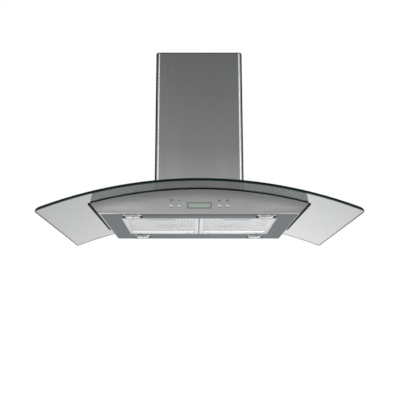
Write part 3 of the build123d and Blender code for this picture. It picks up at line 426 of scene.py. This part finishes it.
# ---------------------------------------------------------------- lamps
def lamp_axes(tree):
    """Distances from the middle of the nearest lamp: sideways without sign, and towards the front."""
    x, y, _ = object_axes(tree)
    across = distance_from(tree, magnitude(tree, x), LAMP_X)
    outward = add(tree, distance_from(tree, y, LAMP_MIDDLE_Y), LAMP_MIDDLE_Y - LAMP_REAR_Y)
    facing = remap(tree, y, LAMP_MIDDLE_Y - 0.001, LAMP_MIDDLE_Y + 0.001, 1, -1)
    return across, times(tree, outward, facing)


def lamp_rim(name):
    """A lamp's trim ring, painted with light and shade: a painted reflection inside, painted highlights on
    its inner wall, painted shade over the middle of its face, and painted black shade on either side.
    """
    material, tree, shader = new_material(name)
    across, forward = lamp_axes(tree)
    radius = hypotenuse(tree, across, forward)
    _, _, z = object_axes(tree)
    # painted shade over the middle of the face
    middle_of_face = remap(tree, across, 0.014, 0.020, 1, 0)
    # painted reflection inside the ring
    inner = times(tree, remap(tree, radius, 0.0232, 0.0236, 1, 0),
                  remap(tree, z, UNDERSIDE - 0.0012, UNDERSIDE - 0.0004, 0.3, 1))
    # painted highlight on the inner wall, away from the middle
    wall = times(tree, inner, remap(tree, across, 0.0015, 0.0040, 0, 1))
    # painted black shade on either side
    side = times(tree, remap(tree, across, 0.0205, 0.0220, 0, 1),
                 remap(tree, forward, 0.0070, 0.0110, 1, 0))
    marks = handling_marks(tree)
    set_colour(tree, shader, blend_colours(tree, marks, (0.48, 0.49, 0.50), (0.56, 0.57, 0.58)))
    tint_base(tree, shader, (middle_of_face, (0.19, 0.19, 0.20)), (inner, (0.72, 0.72, 0.73)),
              (wall, (0.98, 0.98, 0.98)), (side, (0.020, 0.021, 0.022)))
    set_roughness(tree, shader, marks, 0.1, 0.2)
    tree.links.new(remap(tree, side, 0, 1, 1, 0), shader.inputs["Metallic"])
    shader.inputs["Specular IOR Level"].default_value = 0.0
    shader.inputs["Specular Tint"].default_value = (0.45, 0.45, 0.45, 1.0)
    return material


def lamp_mirror(name):
    """The inside of a lamp: a painted reflection as a lighter facet on either side of the bulb, and painted
    shade behind it and high up.
    """
    material, tree, shader = new_material(name)
    across, _ = lamp_axes(tree)
    _, _, z = object_axes(tree)
    marks = handling_marks(tree)
    # painted shade behind the bulb and high up
    grey = larger(tree, remap(tree, across, 0.0035, 0.0060, 1, 0),
                  remap(tree, z, UNDERSIDE + 0.0140, UNDERSIDE + 0.0180, 0, 1))
    set_colour(tree, shader, blend_colours(tree, marks, (0.26, 0.26, 0.26), (0.34, 0.34, 0.33)))
    tint_base(tree, shader, (grey, (0.22, 0.22, 0.23)))
    set_roughness(tree, shader, marks, 0.12, 0.22)
    shader.inputs["Metallic"].default_value = 1.0
    return material


def lens_glass(name):
    """A clear lamp lens with fine ripples."""
    material, tree, shader = new_material(name)
    ripple = noise(tree, (420.0, 420.0, 420.0), detail=1.0)
    set_colour(tree, shader, blend_colours(tree, ripple, (0.92, 0.93, 0.93), (1.0, 1.0, 1.0)))
    shader.inputs["Transmission Weight"].default_value = 1.0
    shader.inputs["Roughness"].default_value = 0.05
    shader.inputs["IOR"].default_value = 1.2
    add_bump(tree, shader, ripple, 0.25, 0.0004)
    return material


# ---------------------------------------------------------------- plastics, rubber, paint
def moulded(name, colour, roughness, grain=1500.0, bump=0.12, variation=0.08, gloss=0.5):
    """Moulded plastic, rubber or lacquer with a fine skin."""
    material, tree, shader = new_material(name)
    shader.inputs["Specular IOR Level"].default_value = gloss
    cloud = noise(tree, (30.0, 30.0, 30.0), detail=3.0)
    skin = noise(tree, (grain, grain, grain))
    set_colour(tree, shader,
               blend_colours(tree, cloud, shade(colour, 1 - variation), shade(colour, 1 + variation)))
    set_roughness(tree, shader, skin, roughness - 0.06, roughness + 0.08)
    add_bump(tree, shader, skin, bump, 0.0002)
    return material


def circuit_board(name):
    """Green lacquer with copper tracks showing through as lighter lines."""
    material, tree, shader = new_material(name)
    tracks = tree.nodes.new("ShaderNodeTexBrick")
    tracks.inputs["Scale"].default_value = 1.0
    tracks.inputs["Color1"].default_value = (0.010, 0.090, 0.030, 1)
    tracks.inputs["Color2"].default_value = (0.014, 0.110, 0.036, 1)
    tracks.inputs["Mortar"].default_value = (0.060, 0.220, 0.080, 1)
    tracks.inputs["Mortar Size"].default_value = 0.03
    upright = (math.radians(90), 0, 0)
    tree.links.new(coordinates(tree, (90.0, 90.0, 160.0), upright), tracks.inputs["Vector"])
    set_colour(tree, shader, tracks.outputs["Color"])
    tree.links.new(remap(tree, tracks.outputs["Fac"], 0, 1, 0.35, 0.2), shader.inputs["Roughness"])
    return material


# ---------------------------------------------------------------- canopy glass
def canopy_border(tree):
    """1 where the glass darkens: along its front, sides and back, and in a dark band over and beside the
    side seals.
    """
    x, y, _ = object_axes(tree)
    sideways = magnitude(tree, x)
    front = remap(tree, y, GLASS_LOW.y + 0.0055, GLASS_LOW.y + 0.0105, 1, 0)
    rear = remap(tree, y, GLASS_HIGH.y - 0.012, GLASS_HIGH.y - 0.010, 0, 0.85)
    sides = remap(tree, sideways, GLASS_HIGH.x - 0.0042, GLASS_HIGH.x - 0.0034, 0, 0.9)
    # the dark band narrows towards the back, as the seals do
    seal_band_start = SEAL_LOW.y + 0.020
    seal_band_inside = SEAL_HIGH.x - 0.0110
    seal_band_outside = remap(tree, y, seal_band_start, SEAL_HIGH.y, SEAL_HIGH.x + 0.0015, SEAL_HIGH.x - 0.0020)
    seal_dark_band = times(tree, maths(tree, "LESS_THAN", sideways, seal_band_outside),
                   maths(tree, "GREATER_THAN", sideways, seal_band_inside))
    seal_dark_band = times(tree, seal_dark_band, maths(tree, "GREATER_THAN", y, seal_band_start))
    seal_dark_band = times(tree, seal_dark_band, maths(tree, "LESS_THAN", y, SEAL_HIGH.y))
    return larger(tree, larger(tree, larger(tree, front, rear), seal_dark_band), sides)


def canopy_glass(name):
    """Smoke-grey float glass: polished faces, a dark green ground edge, and a border that darkens."""
    material, tree, shader = new_material(name)
    haze = noise(tree, (6.0, 6.0, 6.0))
    set_colour(tree, shader, blend_colours(tree, haze, (0.083, 0.098, 0.096), (0.103, 0.118, 0.116)))
    shader.inputs["Transmission Weight"].default_value = 1.0
    shader.inputs["Roughness"].default_value = 0.02
    shader.inputs["IOR"].default_value = 1.52
    shader.inputs["Coat Weight"].default_value = 1.0
    shader.inputs["Coat Roughness"].default_value = 0.03
    shader.inputs["Coat IOR"].default_value = 1.52

    # light from the lamps comes through tinted
    clear = tree.nodes.new("ShaderNodeBsdfTransparent")
    clear.inputs["Color"].default_value = (0.42, 0.46, 0.45, 1)
    path = tree.nodes.new("ShaderNodeLightPath")
    let_through = tree.nodes.new("ShaderNodeMixShader")
    tree.links.new(path.outputs["Is Shadow Ray"], let_through.inputs["Fac"])
    tree.links.new(shader.outputs["BSDF"], let_through.inputs[1])
    tree.links.new(clear.outputs["BSDF"], let_through.inputs[2])

    # how level each face lies: the broad faces above 0.92, the bevels about 0.7, the edges near 0
    geometry = tree.nodes.new("ShaderNodeNewGeometry")
    split = tree.nodes.new("ShaderNodeSeparateXYZ")
    tree.links.new(geometry.outputs["True Normal"], split.inputs["Vector"])
    ground = maths(tree, "LESS_THAN", magnitude(tree, split.outputs["Z"]), 0.9)

    edge = tree.nodes.new("ShaderNodeBsdfPrincipled")
    frost = noise(tree, (500.0, 500.0, 500.0))
    set_colour(tree, edge, blend_colours(tree, frost, (0.002, 0.011, 0.008), (0.004, 0.016, 0.012)))
    edge.inputs["Roughness"].default_value = 0.25
    edge.inputs["Specular IOR Level"].default_value = 0.05
    choose = tree.nodes.new("ShaderNodeMixShader")
    tree.links.new(larger(tree, ground, canopy_border(tree)), choose.inputs["Fac"])
    tree.links.new(let_through.outputs["Shader"], choose.inputs[1])
    tree.links.new(edge.outputs["BSDF"], choose.inputs[2])
    tree.links.new(choose.outputs["Shader"], tree.nodes["Material Output"].inputs["Surface"])
    return material


# ---------------------------------------------------------------- the set of finishes
STEEL = (0.357, 0.358, 0.357)
CHIMNEY_STEEL = (0.232, 0.238, 0.236)
PANEL_STEEL = (0.234, 0.252, 0.266)

finish = {
    "glass": canopy_glass("smoke_glass"),
    "fascia": fascia_steel("steel_fascia", STEEL),
    "steel_across": brushed_metal("steel_brushed_across", STEEL, "X")[0],
    "steel_deep": brushed_metal("steel_brushed_deep", STEEL, "Y")[0],
    "steel_up": cover_steel("steel_brushed_up", CHIMNEY_STEEL),
    "panel": panel_steel("steel_panel", PANEL_STEEL),
    "zinc": zinc_sheet("zinc_sheet", (0.42, 0.43, 0.44)),
    "rubber": moulded("seal_rubber", (0.010, 0.011, 0.012), 0.6, gloss=0.05),
    # near black as painted shade: the bracket stands for the shadow gap under the ceiling
    "bracket": moulded("bracket_shadow_black", (0.018, 0.019, 0.020), 0.4, gloss=0.3),
    "aluminium": frame_aluminium("filter_aluminium", (0.63, 0.64, 0.65)),
    "mesh": woven_metal("filter_mesh", (0.58, 0.59, 0.60), (1.00, 1.00, 1.00)),
    "rolled": rolled_metal("rolled_edge", (0.61, 0.62, 0.63), (0.98, 0.99, 1.00)),
    "hem": plated_metal("pressed_edge", (0.42, 0.44, 0.45), 0.25),
    "chrome": lamp_rim("lamp_rim"),
    "button": button_steel("button_steel"),
    "reflector": lamp_mirror("lamp_mirror"),
    "screw": plated_metal("screw_zinc", (0.50, 0.50, 0.51), 0.25),
    "ground": brushed_metal("ground_steel", (0.55, 0.55, 0.56), "X", 0.2)[0],
    "lens": lens_glass("lamp_lens"),
    "bulb": moulded("lamp_capsule", (0.30, 0.30, 0.29), 0.25),
    "bezel": moulded("display_frame", (0.250, 0.258, 0.250), 0.3),
    "display": moulded("display_window", (0.454, 0.556, 0.491), 0.3, 400.0, 0.02, 0.05),
    "print": moulded("icon_print", (0.095, 0.098, 0.095), 0.5, gloss=0.3),
    "board": circuit_board("circuit_board"),
    "black": moulded("black_plastic", (0.030, 0.030, 0.032), 0.45),
    "grey": moulded("grey_plastic", (0.065, 0.066, 0.069), 0.4),
    "white": moulded("white_plastic", (0.62, 0.62, 0.60), 0.38),
    "lacquer": moulded("motor_lacquer", (0.110, 0.115, 0.120), 0.3, 500.0, 0.15),
}

LAMP_CORNERS = ("front_left", "front_right", "rear_left", "rear_right")

node_finish = {
    "glass": ["glass_canopy"],
    "fascia": ["fascia"],
    "steel_across": ["rear_wall"],
    "steel_deep": ["side_wall_left", "side_wall_right"],
    "steel_up": ["chimney_lower_cover", "chimney_upper_cover"],
    "panel": ["underside_panel"],
    "zinc": ["top_deck", "filter_hooks", "lower_frame_ring", "lower_posts", "upper_posts",
             "motor_box", "outlet_plate", "motor_bracket"],
    "bracket": ["ceiling_bracket"],
    "rubber": ["glass_gasket", "deck_seal", "clamp_gasket"],
    "aluminium": ["filter_frame_left", "filter_frame_right", "filter_mesh_left", "filter_mesh_right",
                  "filter_latch_left", "filter_latch_right"],
    "reflector": ["lamp_reflectors"],
    "bulb": ["lamp_bulbs"],
    "bezel": ["display_bezel"],
    "display": ["display_window"],
    "board": ["control_board"],
    "screw": ["hood_screws", "cover_hanger_screws"],
    "black": ["fan_scroll", "fan_wheel", "cable_gland", "lamp_transformer"],
    "grey": ["outlet_collar", "flap_front", "flap_rear"],
    "ground": ["fan_shaft", "flap_pins"],
    "lacquer": ["fan_motor"],
    "white": ["run_capacitor", "terminal_box", "electronics_box"],
    "button": ["button_light", "button_minus", "button_plus", "button_power"],
    "chrome": ["lamp_bezel_" + corner for corner in LAMP_CORNERS],
    "lens": ["lamp_lens_" + corner for corner in LAMP_CORNERS],
}

for finish_name, nodes in node_finish.items():
    for node in nodes:
        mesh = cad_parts[node].data
        mesh.materials.clear()
        mesh.materials.append(finish[finish_name])


# ---------------------------------------------------------------- building pieces
def finished_piece(name, bm, finish_name, body):
    """Turn a bmesh into a piece with its material, riding on a body."""
    mesh = bpy.data.meshes.new(name)
    bm.to_mesh(mesh)
    bm.free()
    mesh.materials.append(finish[finish_name])
    piece = bpy.data.objects.new(name, mesh)
    bpy.context.scene.collection.objects.link(piece)
    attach(piece, body)
    return piece


def join_rings(bm, first, second, smooth=False):
    """Side faces between two closed rings of vertices."""
    for corner in range(len(first)):
        after = (corner + 1) % len(first)
        face = bm.faces.new((first[corner], first[after], second[after], second[corner]))
        face.smooth = smooth


# ---------------------------------------------------------------- filter packs
MESH_STEP_X = 0.0022             # of the finer layer's diamonds
MESH_STEP_Y = 0.0024
MESH_LAYERS = 2
COARSER_X = 0.13                 # how much wider the diamonds are from one layer to the next
COARSER_Y = 0.09
MESH_STRAND = 0.00060            # half width of a strand
MESH_SHEET = 0.0003
FIRST_LAYER = 0.00085            # height above the mesh's lower side
LAYER_GAP = 0.00065
PLEAT_RISE = 0.00070


def strand(bm, start, end):
    """One strand of expanded mesh: a flat bar between two points, open at its ends."""
    run = (end - start).normalized()
    side = Vector((-run.y, run.x, 0)) * MESH_STRAND
    drop = Vector((0, 0, -MESH_SHEET))
    rings = []
    for point in (start, end):
        rings.append([bm.verts.new(point + offset) for offset in (side, -side, -side + drop, side + drop)])
    join_rings(bm, rings[0], rings[1])


def mesh_layer(bm, low, high, layer):
    """One layer of expanded mesh, lightly pleated from side to side."""
    level = low.z + FIRST_LAYER + LAYER_GAP * layer
    columns = int((high.x - low.x) / (MESH_STEP_X * (1 + COARSER_X * layer)))
    rows = int((high.y - low.y) / (MESH_STEP_Y * (1 + COARSER_Y * layer)))
    step_x = (high.x - low.x) / columns
    step_y = (high.y - low.y) / rows

    def knot(column, row):
        x = low.x + column * step_x
        wave = math.sin(2 * math.pi * (x - low.x) / PLEAT_PITCH + layer)
        return Vector((x, low.y + row * step_y, level + PLEAT_RISE * wave))

    for row in range(rows):
        for column in range(columns):
            if (row + column) % 2 == 0:
                strand(bm, knot(column, row), knot(column + 1, row + 1))
            else:
                strand(bm, knot(column + 1, row), knot(column, row + 1))


def mesh_pack(side):
    """The visible filter pack, in place of the plain sheet: layers of fine expanded mesh."""
    low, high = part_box("filter_mesh_" + side)
    bm = bmesh.new()
    for layer in range(MESH_LAYERS):
        mesh_layer(bm, low, high, layer)
    piece = finished_piece("filter_pack_" + side, bm, "mesh", "filter_" + side)
    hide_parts("filter_mesh_" + side)


# ---------------------------------------------------------------- rolled and pressed edges
BAR_SIDES = 16
BEAD = 0.0010                    # radius of a filter's rolled edge
HEM = 0.0007                     # radius of the opening's pressed edge
FILTER_GAP = 0.0005              # between a filter and its opening
FLANK_RUN = 0.0055               # how far the sloping flank reaches in under the mesh
FLANK_FOOT = 0.0008              # its lower edge above the underside
FLANK_LAP = 0.0004               # its upper edge above the mesh's lower side


def rounded_bar(bm, start, end, radius):
    """A round bar between two points of one level, closed at both ends."""
    run = (end - start).normalized()
    side = Vector((-run.y, run.x, 0))
    up = Vector((0, 0, 1))
    rings = []
    for point in (start, end):
        ring = []
        for step in range(BAR_SIDES):
            angle = 2 * math.pi * step / BAR_SIDES
            reach = math.cos(angle) * side + math.sin(angle) * up
            ring.append(bm.verts.new(point + radius * reach))
        rings.append(ring)
    join_rings(bm, rings[0], rings[1], smooth=True)
    bm.faces.new(rings[0])
    bm.faces.new(reversed(rings[1]))


def bar_loop(bm, low_x, high_x, low_y, high_y, z, radius):
    """Four round bars along a rectangle."""
    corners = [Vector((low_x, low_y, z)), Vector((high_x, low_y, z)),
               Vector((high_x, high_y, z)), Vector((low_x, high_y, z))]
    for index in range(4):
        rounded_bar(bm, corners[index], corners[(index + 1) % 4], radius)


def rolled_edges(side):
    """The rolled inner edge of a filter frame, and the flanks that slope from it up to the mesh."""
    low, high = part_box("filter_mesh_" + side)
    bm = bmesh.new()
    bar_loop(bm, low.x + BEAD, high.x - BEAD, low.y + BEAD, high.y - BEAD, UNDERSIDE + BEAD, BEAD)
    # the flanks follow the left, rear and right edges, wedge-shaped in section
    top = low.z + FLANK_LAP
    section = ((0.0, UNDERSIDE + FLANK_FOOT), (FLANK_RUN, top), (0.0, top))
    front = low.y + 2 * BEAD
    rings = []
    for at_right, at_rear in ((False, False), (False, True), (True, True), (True, False)):
        ring = []
        for reach, z in section:
            x = high.x - reach if at_right else low.x + reach
            y = high.y - reach if at_rear else front
            ring.append(bm.verts.new((x, y, z)))
        rings.append(ring)
    for first, second in zip(rings, rings[1:]):
        join_rings(bm, first, second)
    bm.faces.new(rings[0])
    bm.faces.new(reversed(rings[-1]))
    bmesh.ops.recalc_face_normals(bm, faces=bm.faces)
    finished_piece("filter_rolled_edge_" + side, bm, "rolled", "filter_" + side)


def opening_hem():
    """The pressed edge of the filter opening in the underside."""
    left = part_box("filter_frame_left")
    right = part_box("filter_frame_right")
    gap = FILTER_GAP + HEM
    bm = bmesh.new()
    bar_loop(bm, left[0].x - gap, right[1].x + gap, left[0].y - gap, left[1].y + gap, UNDERSIDE, HEM)
    finished_piece("filter_opening_hem", bm, "hem", "hood")


# ---------------------------------------------------------------- signs over the buttons
ICON_HEIGHT = 0.0394             # above the underside
ICON_STROKE = 0.0016
ICON_FILM = 0.00006
ICON_FRONT = FASCIA_Y - ICON_FILM
ICON_SPAN = 0.0070               # of the minus and the plus
ARC_STEPS = 28


def icon_bar(bm, x, z, width, tall):
    """A printed bar on the fascia's front face."""
    corners = [(-1, -1), (1, -1), (1, 1), (-1, 1)]
    rear, front = ([bm.verts.new((x + sx * width / 2, y, z + sz * tall / 2)) for sx, sz in corners]
                   for y in (FASCIA_Y, ICON_FRONT))
    bm.faces.new(front)
    join_rings(bm, rear, front)


def icon_arc(bm, x, z, radius, start, end):
    """A printed arc on the fascia's front face, between two angles in degrees."""
    rings = []
    for step in range(ARC_STEPS + 1):
        angle = math.radians(start + (end - start) * step / ARC_STEPS)
        points = []
        for reach in (radius - ICON_STROKE / 2, radius + ICON_STROKE / 2):
            for y in (ICON_FRONT, FASCIA_Y):
                points.append(bm.verts.new((x + reach * math.cos(angle), y, z + reach * math.sin(angle))))
        rings.append(points)
    for first, second in zip(rings, rings[1:]):
        bm.faces.new((first[0], first[2], second[2], second[0]))
        bm.faces.new((first[1], first[0], second[0], second[1]))
        bm.faces.new((first[2], first[3], second[3], second[2]))


def button_icons():
    """Plain printed signs over the buttons: a lamp, minus, plus, and on and off."""
    z = UNDERSIDE + ICON_HEIGHT
    names = ("light", "minus", "plus", "power")
    light, minus, plus, power = (middle_of("button_" + name, X) for name in names)
    bm = bmesh.new()
    # a round bulb, open below, over its cap
    icon_arc(bm, light, z + 0.0008, 0.0028, -60, 240)
    icon_bar(bm, light, z - 0.0030, 0.0032, ICON_STROKE)
    icon_bar(bm, minus, z, ICON_SPAN, ICON_STROKE)
    icon_bar(bm, plus, z, ICON_SPAN, ICON_STROKE)
    icon_bar(bm, plus, z, ICON_STROKE, ICON_SPAN)
    # a ring, open above, with a bar in its gap
    icon_arc(bm, power, z, 0.0032, 140, 400)
    icon_bar(bm, power, z + 0.0030, ICON_STROKE, 0.0034)
    finished_piece("button_icons", bm, "print", "hood")


for side in ("left", "right"):
    mesh_pack(side)
    rolled_edges(side)
opening_hem()
button_icons()


# ---------------------------------------------------------------- floor
FLOOR_HALF = 30.0
FLOOR_WHITE = 0.86               # where it is seen, and the unit for its reflections
FLOOR_LIGHT = 0.45               # that it throws on matt surfaces
FRONT_FLOOR = 0.6                # of that unit, in reflections far in front of the hood


def pick(tree, switch, off, on):
    """One value where the switch is 0 and another where it is 1."""
    node = tree.nodes.new("ShaderNodeMix")
    tree.links.new(switch, node.inputs["Factor"])
    feed(tree, node.inputs[2], off)
    feed(tree, node.inputs[3], on)
    return node.outputs[0]


def flat_sheet(name, corners):
    mesh = bpy.data.meshes.new(name)
    mesh.from_pydata(corners, [], [(0, 1, 2, 3)])
    sheet = bpy.data.objects.new(name, mesh)
    bpy.context.scene.collection.objects.link(sheet)
    return sheet


floor = flat_sheet("floor", [(-FLOOR_HALF, -FLOOR_HALF, FLOOR), (FLOOR_HALF, -FLOOR_HALF, FLOOR),
                             (FLOOR_HALF, FLOOR_HALF, FLOOR), (-FLOOR_HALF, FLOOR_HALF, FLOOR)])
material, tree, shader = new_material("pale_floor")
grain = noise(tree, (3.0, 3.0, 3.0))
set_colour(tree, shader, blend_colours(tree, grain, (0.30, 0.30, 0.30), (0.32, 0.32, 0.32)))
shader.inputs["Roughness"].default_value = 0.9
shader.inputs["Specular IOR Level"].default_value = 0.0
shader.inputs["Emission Color"].default_value = (1, 1, 1, 1)
# white where it is seen, greyer in reflections far in front of the hood, to the left and at the far right
path = tree.nodes.new("ShaderNodeLightPath")
x, y, _ = object_axes(tree)
front = remap(tree, y, -3.2, -1.2, FRONT_FLOOR, 1.0)
side = times(tree, remap(tree, x, -0.5, 0.5, 1.00, 1.31), remap(tree, x, 0.65, 1.0, 1.0, 0.6))
mirrored = times(tree, times(tree, front, side), FLOOR_WHITE)
seen = larger(tree, path.outputs["Is Camera Ray"], path.outputs["Is Transmission Ray"])
level = pick(tree, path.outputs["Is Glossy Ray"], FLOOR_LIGHT, mirrored)
tree.links.new(pick(tree, seen, level, FLOOR_WHITE), shader.inputs["Emission Strength"])
floor.data.materials.append(material)


# ---------------------------------------------------------------- world
WORLD_LIGHT = 0.55               # that it throws on matt surfaces

world = bpy.data.worlds.new("studio")
bpy.context.scene.world = world
world.use_nodes = True
tree = world.node_tree
tree.nodes.clear()
output = tree.nodes.new("ShaderNodeOutputWorld")
background = tree.nodes.new("ShaderNodeBackground")
direction = tree.nodes.new("ShaderNodeTexCoord")
split = tree.nodes.new("ShaderNodeSeparateXYZ")
tree.links.new(direction.outputs["Generated"], split.inputs["Vector"])
path = tree.nodes.new("ShaderNodeLightPath")
# what metal reflects: white at the horizon, greyer overhead, at the sides and behind the hood
overhead = remap(tree, split.outputs["Z"], 0.22, 0.47, 1.0, 0.36)
behind = remap(tree, split.outputs["Y"], -0.2, 0.5, 1.0, 0.5)
beside = remap(tree, magnitude(tree, split.outputs["X"]), 0.55, 0.85, 1.0, 0.6)
mirrored = times(tree, times(tree, overhead, behind), beside)
seen = larger(tree, path.outputs["Is Camera Ray"], path.outputs["Is Transmission Ray"])
level = pick(tree, path.outputs["Is Glossy Ray"], WORLD_LIGHT, mirrored)
tree.links.new(pick(tree, seen, level, 1.0), background.inputs["Strength"])
background.inputs["Color"].default_value = (1, 1, 1, 1)
tree.links.new(background.outputs["Background"], output.inputs["Surface"])


# ---------------------------------------------------------------- lamps of the studio
def soft_lamp(name, place, target, width, height, power):
    """A rectangular soft box aimed at a point."""
    data = bpy.data.lights.new(name, "AREA")
    data.shape = "RECTANGLE"
    data.size = width
    data.size_y = height
    data.energy = power
    lamp = bpy.data.objects.new(name, data)
    bpy.context.scene.collection.objects.link(lamp)
    lamp.location = place
    lamp.rotation_euler = (Vector(target) - Vector(place)).to_track_quat("-Z", "Y").to_euler()
    lamp.visible_camera = False


soft_lamp("left_strip", (-1.35, -3.50, 0.75), (-0.10, -0.13, 0.0), 0.50, 2.3, 11)
soft_lamp("right_strip", (1.75, -3.20, 0.75), (0.13, -0.13, 0.0), 0.60, 2.3, 14)
soft_lamp("overhead", (0.3, -0.6, 2.4), (0, 0, -0.5), 2.6, 2.0, 45)


# ---------------------------------------------------------------- camera
CAMERA_X = -0.01127
CAMERA_Y = -1.82009
CAMERA_DROP = 0.34941            # below the underside
CAMERA_PITCH = 11                # degrees above level

camera_data = bpy.data.cameras.new("camera")
camera = bpy.data.objects.new("camera", camera_data)
bpy.context.scene.collection.objects.link(camera)
camera.location = (CAMERA_X, CAMERA_Y, UNDERSIDE - CAMERA_DROP)
camera.rotation_euler = (math.radians(90 + CAMERA_PITCH), 0, 0)
camera_data.sensor_width = 36
camera_data.lens = 51.86
camera_data.shift_x = 0.0114
camera_data.shift_y = 0.0663
camera_data.clip_start = 0.05
camera_data.clip_end = 200
bpy.context.scene.camera = camera

bpy.context.scene.view_settings.view_transform = "Standard"
